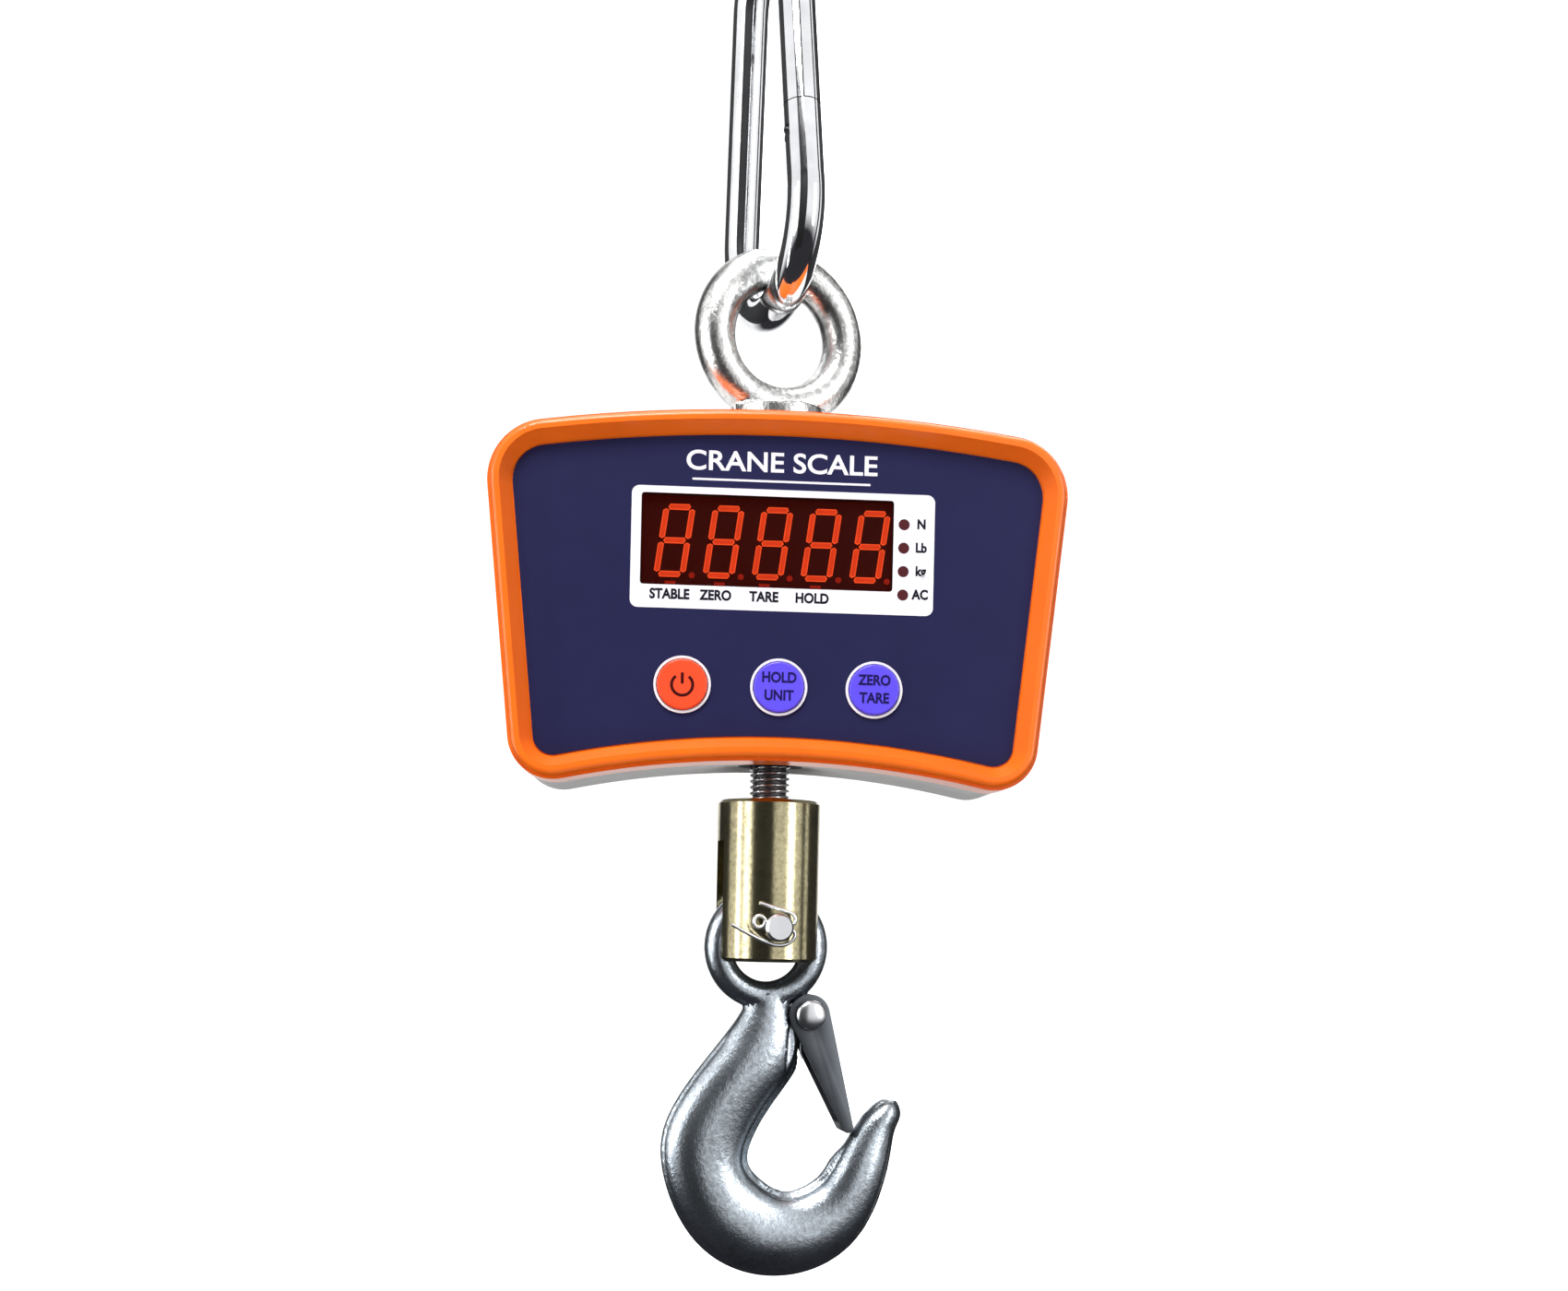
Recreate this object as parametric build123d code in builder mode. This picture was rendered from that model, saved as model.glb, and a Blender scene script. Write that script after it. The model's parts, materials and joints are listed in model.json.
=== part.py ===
from build123d import *
import os
from math import asin, atan2, cos, degrees, radians, sin, tan

# Crane scale hanging on a snap link. Millimetres. The origin is the inner crown of the
# snap link's upper bend, where it hangs. +Z is up, and the display faces -Y.
# The pieces are drawn about the line through the eye bolt, the stud and the barrel. The link
# leans and sits a little to its left, so save() moves each piece to bring the crown to the origin.

# driving dimensions: snap link
link_yaw = 18.5
link_lean = 1.35
link_shift = 2.1
rod_r = 5.5
top_bend_r = 17.5
low_bend_r = 25.5
link_height = 120.0
hinge_drop = 6.0
gate_length = 38.0
gate_gap = 0.3
tongue_half = 2.4
fork_half = 2.7
gate_rivet_r = 2.0
gate_bore_r = 2.6
gate_bore_depth = 26.0
gate_spring_r = 2.4
gate_spring_wire = 0.8
plunger_length = 6.0
blade_half = 1.5
cross_bar_r = 1.6
cross_bar_half = 4.6

# driving dimensions: eye bolt and load cell
ring_r = 20.0
ring_wire_r = 6.0
ring_play = 0.3
collar_r = 14.0
shank_r = 5.9
nut_flats = 18.0
nut_height = 6.0
cell_width = 50.0
cell_height = 62.0
cell_depth = 18.0
cell_top_z = -159.0
cell_thread_depth = 12.5
cell_slot = 3.0
cell_slot_run = 38.0
cell_bore_r = 11.0

# driving dimensions: case
body_top_z = -139.4
top_arc_drop = 7.6
top_corner_x = 82.8
low_corner_x = 72.8
low_corner_drop = 107.8
low_arc_drop = 98.0
top_corner_r = 17.0
low_corner_r = 12.5
front_y = -27.0
rear_y = 27.0
seam_y = -11.0
gasket_thick = 0.8
wall = 2.6
panel_y = -22.0
panel_back_y = -19.5
overlay_thick = 0.4
lip_inset = 0.9
lip_y = -23.6
crest_inset = 3.4
recess_inset = 6.6
case_screw_spots = [(-68.0, -157.4), (68.0, -157.4), (-62.0, -234.0), (62.0, -234.0)]

# driving dimensions: display and keys
window_x = -3.2
window_z = -176.1
window_width = 70.8
window_height = 25.6
digit_pitch = 13.75
digit_count = 5
digit_height = 20.6
digit_width = 7.3
digit_slant = 7.6
digit_shift = 1.5
point_r = 0.85
stroke = 1.75
lamp_x = 35.15
lamp_top_z = -169.9
lamp_pitch = 6.6
lamp_count = 4
lamp_r = 1.55
key_z = -216.7
key_x = {"power_key": -26.2, "hold_key": 0.8, "zero_key": 27.6}
key_r = 7.1
guide_r = 8.0
guide_bore_r = 7.3
board_front_y = -12.4
board_back_y = -10.8
board_half_x = 52.0
board_top_z = -161.0
board_low_z = -227.0
board_screw_spots = [(-47.0, -165.5), (47.0, -165.5), (-47.0, -222.5), (47.0, -222.5)]

# driving dimensions: swivel, hook and latch
hook_yaw = 9.2
hook_lean = 2.0
barrel_r = 15.0
barrel_top_z = -247.2
barrel_low_z = -294.0
barrel_roof = 9.0
barrel_bore_r = 10.3
slot_top_z = -259.2
slot_half = 5.0
pin_r = 4.0
pin_z = -284.0
pin_front = 18.8
cotter_at = 16.0
cotter_wire_r = 0.6
cotter_loop_r = 1.55
eye_z = -289.8
eye_r = 14.2
eye_wire_r = 4.2
latch_pivot = (11.9, -20.0)
latch_tip = (23.0, -53.4)
latch_lobe_r = 6.0
latch_tip_r = 1.6
latch_half = 4.6
latch_sheet = 1.2
latch_open = 28.0
latch_bore_r = 2.6
rivet_r = 2.5
rivet_head_r = 4.4
lug_half = 3.0
lug_r = 5.2
spring_coil = (2.75, 3.85)
spring_side = (1.7, 2.9)
spring_leg_x = -1.8
spring_leg_length = 12.6
pin_head_r = 5.5
pin_head_thick = 3.0
cotter_hole_r = 1.7

os.makedirs("parts", exist_ok=True)


def front_plane(y):
    # local x is +X and local y is +Z, and the plane looks towards the viewer at -Y
    return Plane.XZ.offset(-y)


# Snap link, in its own upright plane: local x points to the gate side, local y is +Z
link_dir = Vector(sin(radians(link_yaw)), -cos(radians(link_yaw)), 0)
link_normal = Vector(-cos(radians(link_yaw)), -sin(radians(link_yaw)), 0)
upright_link = Plane(origin=(0, 0, 0), x_dir=link_dir, z_dir=link_normal)
low_rod_z = 3 * rod_r - link_height
lean_about_ring = Pos(-link_shift, 0, low_rod_z) * Rot(0, -link_lean, 0) * Pos(0, 0, -low_rod_z)
link_plane = Plane(lean_about_ring * upright_link.location)
to_hang_point = Location(-link_plane.origin)


def save(piece, name):
    placed = piece.part.moved(to_hang_point)
    placed.label = name
    export_step(placed, f"parts/{name}.step")


top_centre_z = rod_r - top_bend_r
low_centre_z = low_rod_z + low_bend_r
lean = asin((low_bend_r - top_bend_r) / (top_centre_z - low_centre_z))
top_tangent = (top_bend_r * cos(lean), top_centre_z + top_bend_r * sin(lean))
low_tangent = (low_bend_r * cos(lean), low_centre_z + low_bend_r * sin(lean))
down_line = (sin(lean), -cos(lean))
gate_pivot = (top_tangent[0] + hinge_drop * down_line[0], top_tangent[1] + hinge_drop * down_line[1])
nose_drop = gate_length + gate_gap
nose_end = (gate_pivot[0] + nose_drop * down_line[0], gate_pivot[1] + nose_drop * down_line[1])
gate_plane = Plane(
    origin=link_plane.from_local_coords(gate_pivot + (0,)),
    x_dir=link_plane.x_dir * cos(lean) + link_plane.y_dir * sin(lean),
    z_dir=link_plane.z_dir,
)
notch_top = 6.4
notch_height = 4.4
slot_depth = notch_top + notch_height

with BuildPart() as link_body:
    with BuildLine(link_plane) as link_route:
        Line(nose_end, low_tangent)
        ThreePointArc(low_tangent, (0, low_centre_z - low_bend_r), (-low_tangent[0], low_tangent[1]))
        Line((-low_tangent[0], low_tangent[1]), (-top_tangent[0], top_tangent[1]))
        ThreePointArc((-top_tangent[0], top_tangent[1]), (0, rod_r), top_tangent)
    with BuildSketch(Plane(origin=link_route.line @ 0, z_dir=link_route.line % 0)):
        Circle(rod_r)
    sweep(path=link_route.line)
    with BuildSketch(gate_plane):
        Circle(rod_r - 0.3)
        with Locations((0, hinge_drop / 2)):
            Rectangle(2 * rod_r - 0.6, hinge_drop + 0.4)
    extrude(amount=tongue_half, both=True)
    with BuildSketch(gate_plane):
        Circle(gate_rivet_r + 0.05)
    extrude(amount=2 * rod_r, both=True, mode=Mode.SUBTRACT)
    # T-shaped catch in the nose, open to the inside
    with BuildSketch(gate_plane):
        with Locations((-rod_r / 2, -nose_drop - slot_depth / 2)):
            Rectangle(rod_r + 4.0, slot_depth)
    extrude(amount=1.9, both=True, mode=Mode.SUBTRACT)
    with BuildSketch(gate_plane):
        with Locations((-rod_r / 2, -nose_drop - notch_top - notch_height / 2)):
            Rectangle(rod_r + 4.0, notch_height)
    extrude(amount=2 * rod_r, both=True, mode=Mode.SUBTRACT)
save(link_body, "link_body")

with BuildPart() as link_gate:
    with BuildSketch(gate_plane * Plane.XZ):
        Circle(rod_r)
    extrude(amount=gate_length)
    with BuildSketch(gate_plane):
        Circle(rod_r - 0.2)
    extrude(amount=rod_r - 0.8, both=True)
    with BuildSketch(gate_plane):
        with Locations((0, -0.6)):
            Rectangle(4 * rod_r, 2 * rod_r + 1.2)
    extrude(amount=fork_half, both=True, mode=Mode.SUBTRACT)
    with BuildSketch(gate_plane):
        Circle(gate_rivet_r + 0.1)
    extrude(amount=2 * rod_r, both=True, mode=Mode.SUBTRACT)
    with BuildSketch(gate_plane * Plane.XZ):
        Circle(gate_bore_r)
    extrude(amount=gate_bore_depth, mode=Mode.SUBTRACT)
    # catch blade with its cross bar
    with BuildSketch(gate_plane):
        with Locations((-1.2, -gate_length - 4.6)):
            Rectangle(5.4, 9.4)
    extrude(amount=blade_half, both=True)
    with BuildSketch(gate_plane):
        with Locations((-1.4, -nose_drop - notch_top - notch_height / 2)):
            Circle(cross_bar_r)
    extrude(amount=cross_bar_half, both=True)
save(link_gate, "link_gate")

with BuildPart() as gate_rivet:
    with BuildSketch(gate_plane):
        Circle(gate_rivet_r)
    extrude(amount=rod_r - 0.5, both=True)
save(gate_rivet, "gate_rivet")

with BuildPart() as gate_plunger:
    with BuildSketch(gate_plane * Plane.XZ.offset(rod_r + 0.1)):
        Circle(gate_bore_r - 0.15)
    extrude(amount=plunger_length)
save(gate_plunger, "gate_plunger")

with BuildPart() as gate_spring:
    with BuildSketch(gate_plane * Plane.XZ.offset(rod_r + 0.2 + plunger_length)):
        Circle(gate_spring_r)
        Circle(gate_spring_r - gate_spring_wire, mode=Mode.SUBTRACT)
    extrude(amount=gate_bore_depth - rod_r - plunger_length - 0.5)
save(gate_spring, "gate_spring")

# Eye bolt: ring hanging on the lower bend, collar on the case, shank into the load cell
low_crown_z = low_rod_z + rod_r
ring_z = low_crown_z + ring_play + ring_wire_r - ring_r
ring_plane = Plane(origin=(0, 0, ring_z), z_dir=link_dir)
collar_z = body_top_z + 1.2
shank_end_z = cell_top_z - cell_thread_depth + 0.6

with BuildPart() as eye_bolt:
    with Locations(ring_plane):
        Torus(ring_r, ring_wire_r)
    with BuildSketch(Plane.XY.offset(collar_z)):
        Circle(collar_r)
    extrude(amount=5.0)
    with BuildSketch(Plane.XY.offset(collar_z)):
        Circle(shank_r)
    extrude(amount=shank_end_z - collar_z)
save(eye_bolt, "eye_bolt")

with BuildPart() as upper_seal:
    with BuildSketch(Plane.XY.offset(collar_z - 1.15)):
        Circle(collar_r - 1.5)
        Circle(shank_r + 0.1, mode=Mode.SUBTRACT)
    extrude(amount=1.13)
save(upper_seal, "upper_seal")


def nut_stack(lower_faces):
    # hexagon nuts with two flats square to Y
    with BuildPart() as nuts:
        for face_z in lower_faces:
            with BuildSketch(Plane.XY.offset(face_z)):
                RegularPolygon(nut_flats / 2, 6, major_radius=False)
                Circle(shank_r + 0.05, mode=Mode.SUBTRACT)
            extrude(amount=nut_height)
    return nuts


roof_nut_z = body_top_z - wall - 2.0 - nut_height
cell_nut_z = cell_top_z + 0.2
cell_low_z = cell_top_z - cell_height
upper_nuts = nut_stack([roof_nut_z, cell_nut_z])
save(upper_nuts, "upper_nuts")
cell_lock_nut = nut_stack([cell_low_z - 0.2 - nut_height])
save(cell_lock_nut, "cell_lock_nut")

cell_mid_z = cell_top_z - cell_height / 2
slot_offset = cell_height / 2 - cell_thread_depth - 2.5
with BuildPart() as load_cell:
    with BuildSketch(front_plane(cell_depth / 2)):
        with Locations((0, cell_mid_z)):
            RectangleRounded(cell_width, cell_height, 2.0)
            Circle(cell_bore_r, mode=Mode.SUBTRACT)
        for side in (1, -1):
            with Locations((-side * (cell_width - cell_slot_run) / 2, cell_mid_z + side * slot_offset)):
                Rectangle(cell_slot_run, cell_slot, mode=Mode.SUBTRACT)
    extrude(amount=cell_depth)
    for face_z, depth in ((cell_top_z, -cell_thread_depth), (cell_low_z, cell_thread_depth)):
        with BuildSketch(Plane.XY.offset(face_z)):
            Circle(shank_r + 0.05)
        extrude(amount=depth, mode=Mode.SUBTRACT)
save(load_cell, "load_cell")

with BuildPart() as gauge_potting:
    with BuildSketch(front_plane(cell_depth / 2 - 1.0)):
        with Locations((0, cell_mid_z)):
            Circle(cell_bore_r - 0.1)
    extrude(amount=cell_depth - 2.0)
save(gauge_potting, "gauge_potting")

stud_low_z = -267.4
with BuildPart() as lower_stud:
    with BuildSketch(Plane.XY.offset(cell_low_z + cell_thread_depth - 0.6)):
        Circle(shank_r)
    extrude(amount=stud_low_z - cell_low_z - cell_thread_depth + 0.6)
    chamfer(lower_stud.faces().sort_by(Axis.Z)[0].edges(), 0.8)
save(lower_stud, "lower_stud")


# Case outline in the front view, drawn about the middle of its top edge
def case_outline(inset):
    top_z = body_top_z
    with BuildSketch() as outline:
        with BuildLine():
            ThreePointArc(
                (-top_corner_x, top_z - top_arc_drop), (0, top_z), (top_corner_x, top_z - top_arc_drop)
            )
            Line((top_corner_x, top_z - top_arc_drop), (low_corner_x, top_z - low_corner_drop))
            ThreePointArc(
                (low_corner_x, top_z - low_corner_drop),
                (0, top_z - low_arc_drop),
                (-low_corner_x, top_z - low_corner_drop),
            )
            Line((-low_corner_x, top_z - low_corner_drop), (-top_corner_x, top_z - top_arc_drop))
        make_face()
        fillet(outline.vertices().group_by(Axis.Y)[-1], top_corner_r)
        fillet(outline.vertices().group_by(Axis.Y)[0], low_corner_r)
        if inset > 0:
            offset(amount=-inset)
    return outline.sketch_local


outer_outline = case_outline(0)
cavity_outline = case_outline(wall)
window_hole = (window_width + 1.0, window_height + 1.0)
case_floor_z = body_top_z - low_arc_drop
seal_r = 9.5

with BuildPart() as front_bezel:
    with BuildSketch(front_plane(seam_y)):
        add(outer_outline)
    extrude(amount=seam_y - lip_y)
    with BuildSketch(front_plane(lip_y)):
        add(case_outline(lip_inset))
    extrude(amount=lip_y - front_y)
    fillet(front_bezel.faces().sort_by(Axis.Y)[0].edges(), 1.6)
    with BuildSketch(front_plane(panel_y)):
        add(case_outline(recess_inset))
    with BuildSketch(front_plane(front_y - 0.2)):
        add(case_outline(crest_inset))
    loft(ruled=True, mode=Mode.SUBTRACT)
    with BuildSketch(front_plane(seam_y)):
        add(cavity_outline)
    extrude(amount=seam_y - panel_back_y, mode=Mode.SUBTRACT)
    # bosses for the case screws and the board screws
    with BuildSketch(front_plane(seam_y)):
        with Locations(*case_screw_spots):
            Circle(4.5)
    extrude(amount=seam_y - panel_back_y)
    with BuildSketch(front_plane(board_front_y - 0.1)):
        with Locations(*board_screw_spots):
            Circle(3.4)
    extrude(amount=board_front_y - 0.1 - panel_back_y)
    with BuildSketch(front_plane(seam_y)):
        with Locations(*case_screw_spots):
            Circle(2.0)
        with Locations(*board_screw_spots):
            Circle(1.5)
    extrude(amount=seam_y - panel_back_y - 0.2, mode=Mode.SUBTRACT)
    # openings in the front wall
    with BuildSketch(front_plane(panel_back_y + 1)):
        with Locations((window_x, window_z)):
            Rectangle(*window_hole)
        with Locations(*[(x, key_z) for x in key_x.values()]):
            Circle(guide_r + 0.05)
        with Locations(*[(lamp_x, lamp_top_z - lamp_pitch * row) for row in range(lamp_count)]):
            Circle(lamp_r + 0.1)
    extrude(amount=panel_back_y + 1 - front_y, mode=Mode.SUBTRACT)
save(front_bezel, "front_bezel")

with BuildPart() as front_overlay:
    with BuildSketch(front_plane(panel_y)):
        add(case_outline(recess_inset + 0.3))
        with Locations((window_x, window_z)):
            Rectangle(window_width, window_height, mode=Mode.SUBTRACT)
        with Locations(*[(x, key_z) for x in key_x.values()]):
            Circle(guide_r + 0.05, mode=Mode.SUBTRACT)
        with Locations(*[(lamp_x, lamp_top_z - lamp_pitch * row) for row in range(lamp_count)]):
            Circle(lamp_r + 0.05, mode=Mode.SUBTRACT)
    extrude(amount=overlay_thick)
save(front_overlay, "front_overlay")

housing_front_y = seam_y + gasket_thick
with BuildPart() as housing_gasket:
    with BuildSketch(front_plane(housing_front_y)):
        add(case_outline(0.9))
        add(cavity_outline, mode=Mode.SUBTRACT)
    extrude(amount=gasket_thick)
save(housing_gasket, "housing_gasket")

front_inset = 0.3
rear_inset = 0.5
rear_inner_y = rear_y - wall
screw_seat_y = 4.0
socket_spot = (48.0, -215.0)
socket_r = 4.0
plate_size = (62.0, 30.0)
plate_z = -186.0

with BuildPart() as rear_housing:
    with BuildSketch(front_plane(housing_front_y)):
        add(case_outline(front_inset))
    with BuildSketch(front_plane(rear_y)):
        add(case_outline(rear_inset))
    loft(ruled=True)
    fillet(rear_housing.faces().sort_by(Axis.Y)[-1].edges(), 2.0)
    with BuildSketch(front_plane(housing_front_y)):
        add(case_outline(front_inset + wall))
    with BuildSketch(front_plane(rear_inner_y)):
        add(case_outline(rear_inset + wall))
    loft(ruled=True, mode=Mode.SUBTRACT)
    with BuildSketch(front_plane(rear_inner_y)):
        with Locations(*case_screw_spots):
            Circle(5.6)
    extrude(amount=rear_inner_y - housing_front_y)
    with BuildSketch(front_plane(rear_y)):
        with Locations(*case_screw_spots):
            Circle(2.2)
    extrude(amount=rear_y - housing_front_y, mode=Mode.SUBTRACT)
    with BuildSketch(front_plane(rear_y)):
        with Locations(*case_screw_spots):
            Circle(4.2)
    extrude(amount=rear_y - screw_seat_y, mode=Mode.SUBTRACT)
    with BuildSketch(front_plane(rear_y)):
        with Locations(socket_spot):
            Circle(socket_r + 0.1)
    extrude(amount=wall, mode=Mode.SUBTRACT)
    with BuildSketch(front_plane(rear_y)):
        with Locations((0, plate_z)):
            RectangleRounded(plate_size[0] + 0.4, plate_size[1] + 0.4, 2.2)
    extrude(amount=0.6, mode=Mode.SUBTRACT)
    # shaft holes in the roof and the floor
    with BuildSketch(Plane.XY.offset(body_top_z + 1)):
        Circle(shank_r + 0.3)
    extrude(amount=-wall - 3, mode=Mode.SUBTRACT)
    with BuildSketch(Plane.XY.offset(case_floor_z - 2)):
        Circle(seal_r + 0.05)
    extrude(amount=wall + 5, mode=Mode.SUBTRACT)
save(rear_housing, "rear_housing")

with BuildPart() as rear_plate:
    with BuildSketch(front_plane(rear_y - 0.1)):
        with Locations((0, plate_z)):
            RectangleRounded(*plate_size, 2.0)
    extrude(amount=0.5)
save(rear_plate, "rear_plate")

with BuildPart() as lower_seal:
    with BuildSketch(Plane.XY.offset(case_floor_z + 0.3)):
        Circle(seal_r)
        Circle(shank_r + 0.15, mode=Mode.SUBTRACT)
    extrude(amount=wall - 0.2)
save(lower_seal, "lower_seal")


def round_column(spots, radius, start_y, end_y):
    # cylinders along Y, one on each spot of the front view
    with BuildPart() as columns:
        with BuildSketch(front_plane(start_y)):
            with Locations(*spots):
                Circle(radius)
        extrude(amount=start_y - end_y)
    return columns


def screw_set(spots, head_r, head_height, shaft_r, seat_y, tip_y):
    # screws driven from behind: the head is behind its seat and the tip is in front of it
    with BuildPart() as screws:
        with BuildSketch(front_plane(seat_y + head_height)):
            with Locations(*spots):
                Circle(head_r)
        extrude(amount=head_height)
        with BuildSketch(front_plane(seat_y)):
            with Locations(*spots):
                Circle(shaft_r)
        extrude(amount=seat_y - tip_y)
        with BuildSketch(front_plane(seat_y + head_height)):
            with Locations(*spots):
                Rectangle(head_r * 1.2, head_r * 0.24)
                Rectangle(head_r * 0.24, head_r * 1.2)
        extrude(amount=head_height * 0.5, mode=Mode.SUBTRACT)
    return screws


housing_screws = screw_set(case_screw_spots, 3.6, 2.8, 1.9, screw_seat_y, panel_back_y + 0.6)
save(housing_screws, "housing_screws")
board_screws = screw_set(board_screw_spots, 2.8, 2.0, 1.4, board_back_y, panel_back_y + 0.8)
save(board_screws, "board_screws")

# Display behind its window, and the digits on the display's face
window_face_y = panel_y - overlay_thick + 0.1
module_face_y = -20.3
with BuildPart() as display_window:
    with BuildSketch(front_plane(module_face_y - 0.6)):
        with Locations((window_x, window_z)):
            Rectangle(window_width - 0.3, window_height - 0.3)
    extrude(amount=module_face_y - 0.6 - window_face_y)
save(display_window, "display_window")

with BuildPart() as display_module:
    with BuildSketch(front_plane(board_front_y)):
        with Locations((window_x, window_z)):
            Rectangle(window_width - 0.4, window_height - 0.4)
    extrude(amount=board_front_y - module_face_y)
save(display_module, "display_module")


def bar(start, end):
    # one display segment: a bar with pointed ends, slanted with the digit
    half = stroke / 2
    run = Vector(end[0] - start[0], end[1] - start[1])
    along = run.normalized()
    across = Vector(-along.Y, along.X)
    begin = Vector(*start) + along * 0.3
    finish = Vector(*end) - along * 0.3
    corners = [
        begin,
        begin + (along + across) * half,
        finish + (across - along) * half,
        finish,
        finish - (along + across) * half,
        begin + (along - across) * half,
    ]
    return [(p.X + p.Y * tan(radians(digit_slant)), p.Y) for p in corners]


half_digit = (digit_height - stroke) / 2
half_width = digit_width / 2
levels = [-half_digit, 0, half_digit]
segment_runs = [((-half_width, level), (half_width, level)) for level in levels]
segment_runs += [
    ((side * half_width, low), (side * half_width, high))
    for side in (-1, 1)
    for low, high in zip(levels, levels[1:])
]
digit_spots = [(window_x + digit_shift + (n - 2) * digit_pitch, window_z) for n in range(digit_count)]
with BuildPart() as digit_segments:
    with BuildSketch(front_plane(module_face_y)):
        with Locations(*digit_spots):
            for start, end in segment_runs:
                Polygon(*bar(start, end), align=None)
        with Locations(*[(x + half_width + 1.5, z - half_digit - 0.2) for x, z in digit_spots]):
            Circle(point_r)
    extrude(amount=0.3)
save(digit_segments, "digit_segments")

status_x = [-30.2, -16.4, -3.8, 10.6]
with BuildPart() as status_lamps:
    with BuildSketch(front_plane(module_face_y)):
        with Locations(*[(x, window_z - window_height / 2 + 1.0) for x in status_x]):
            Rectangle(3.0, 0.8)
    extrude(amount=0.3)
save(status_lamps, "status_lamps")

lamp_spots = [(lamp_x, lamp_top_z - lamp_pitch * row) for row in range(lamp_count)]
unit_lamps = round_column(lamp_spots, lamp_r, board_front_y, panel_y - overlay_thick)
save(unit_lamps, "unit_lamps")

with BuildPart() as main_board:
    with BuildSketch(front_plane(board_back_y)):
        with Locations((0, (board_top_z + board_low_z) / 2)):
            Rectangle(2 * board_half_x, board_top_z - board_low_z)
        with Locations(*board_screw_spots):
            Circle(1.55, mode=Mode.SUBTRACT)
    extrude(amount=board_back_y - board_front_y)
save(main_board, "main_board")


def box_set(boxes, start_y, end_y):
    # blocks on one board face: each entry is its middle and its width and height
    with BuildPart() as blocks:
        with BuildSketch(front_plane(start_y)):
            for x, z, width, height in boxes:
                with Locations((x, z)):
                    Rectangle(width, height)
        extrude(amount=start_y - end_y)
    return blocks


chip_boxes = [(-38.0, -176.0, 10.0, 10.0), (36.0, -200.0, 6.0, 10.0), (-34.0, -213.0, 7.0, 5.0)]
board_chips = box_set(chip_boxes, board_back_y + 1.7, board_back_y)
save(board_chips, "board_chips")
sounder = round_column([(38.0, -172.0)], 6.0, board_back_y + 7.5, board_back_y)
save(sounder, "sounder")

plug_back_y = -5.6
battery_plug = (45.0, -187.0)
cell_plug = (-45.0, -200.0)
plug_boxes = [(*battery_plug, 7.0, 6.0), (*cell_plug, 7.0, 9.0), (*socket_spot, 7.0, 6.0)]
board_plugs = box_set(plug_boxes, plug_back_y, board_back_y)
save(board_plugs, "board_plugs")

switch_front_y = board_front_y - 3.0
with BuildPart() as tact_switches:
    with BuildSketch(front_plane(board_front_y)):
        with Locations(*[(x, key_z) for x in key_x.values()]):
            Rectangle(6.2, 6.2)
    extrude(amount=3.0)
    with BuildSketch(front_plane(switch_front_y)):
        with Locations(*[(x, key_z) for x in key_x.values()]):
            Circle(1.7)
    extrude(amount=1.5)
save(tact_switches, "tact_switches")

guide_front_y = -23.1
with BuildPart() as button_guides:
    with BuildSketch(front_plane(panel_back_y + 0.8)):
        with Locations(*[(x, key_z) for x in key_x.values()]):
            Circle(guide_r + 1.0)
            Circle(guide_bore_r, mode=Mode.SUBTRACT)
    extrude(amount=0.78)
    with BuildSketch(front_plane(panel_back_y + 0.02)):
        with Locations(*[(x, key_z) for x in key_x.values()]):
            Circle(guide_r)
            Circle(guide_bore_r, mode=Mode.SUBTRACT)
    extrude(amount=panel_back_y + 0.02 - guide_front_y)
save(button_guides, "button_guides")

key_front_y = -23.9
key_rear_y = -17.6
for key_name, x in key_x.items():
    with BuildPart() as key:
        with BuildSketch(front_plane(key_rear_y)):
            with Locations((x, key_z)):
                Circle(guide_bore_r + 0.6)
        extrude(amount=0.8)
        with BuildSketch(front_plane(key_rear_y)):
            with Locations((x, key_z)):
                Circle(key_r)
        extrude(amount=key_rear_y - key_front_y)
        fillet(key.faces().sort_by(Axis.Y)[0].edges(), 0.6)
    save(key, key_name)

# Battery behind the load cell, with its tray on the rear wall
battery_size = (62.0, 38.0)
battery_z = -188.0
battery_front_y = 12.2
battery_back_y = 23.4
tray_front_y = 10.8
lead_r = 1.3
with BuildPart() as battery:
    with BuildSketch(front_plane(battery_back_y)):
        with Locations((0, battery_z)):
            RectangleRounded(*battery_size, 2.0)
    extrude(amount=battery_back_y - battery_front_y)
save(battery, "battery")

with BuildPart() as battery_tray:
    with BuildSketch(front_plane(rear_inner_y - 0.1)):
        with Locations((0, battery_z)):
            RectangleRounded(battery_size[0] + 3.6, battery_size[1] + 3.6, 3.0)
    extrude(amount=rear_inner_y - 0.1 - tray_front_y)
    with BuildSketch(front_plane(rear_inner_y - 0.1)):
        with Locations((0, battery_z)):
            RectangleRounded(battery_size[0] + 0.6, battery_size[1] + 0.6, 2.2)
    extrude(amount=rear_inner_y - 0.1 - battery_front_y + 0.2, mode=Mode.SUBTRACT)
    with BuildSketch(Plane.YZ.offset(battery_size[0] / 2)):
        with Locations((18.0, battery_plug[1])):
            Circle(lead_r + 0.3)
    extrude(amount=4.0, mode=Mode.SUBTRACT)
save(battery_tray, "battery_tray")


def lead(points, radius, bend):
    # a held lead: straight runs with round bends, swept with a round section
    with BuildPart() as tube:
        with BuildLine() as route:
            FilletPolyline(*points, radius=bend)
        with BuildSketch(Plane(origin=route.line @ 0, z_dir=route.line % 0)):
            Circle(radius)
        sweep(path=route.line)
    print("lead bend radius", bend, "length", round(route.wire().length, 1))
    return tube


battery_side_x = battery_size[0] / 2
battery_route = [
    (battery_side_x, 18.0, battery_plug[1]),
    (battery_plug[0], 18.0, battery_plug[1]),
    (battery_plug[0], plug_back_y, battery_plug[1]),
]
battery_lead = lead(battery_route, lead_r, 9.0)
save(battery_lead, "battery_lead")

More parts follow.
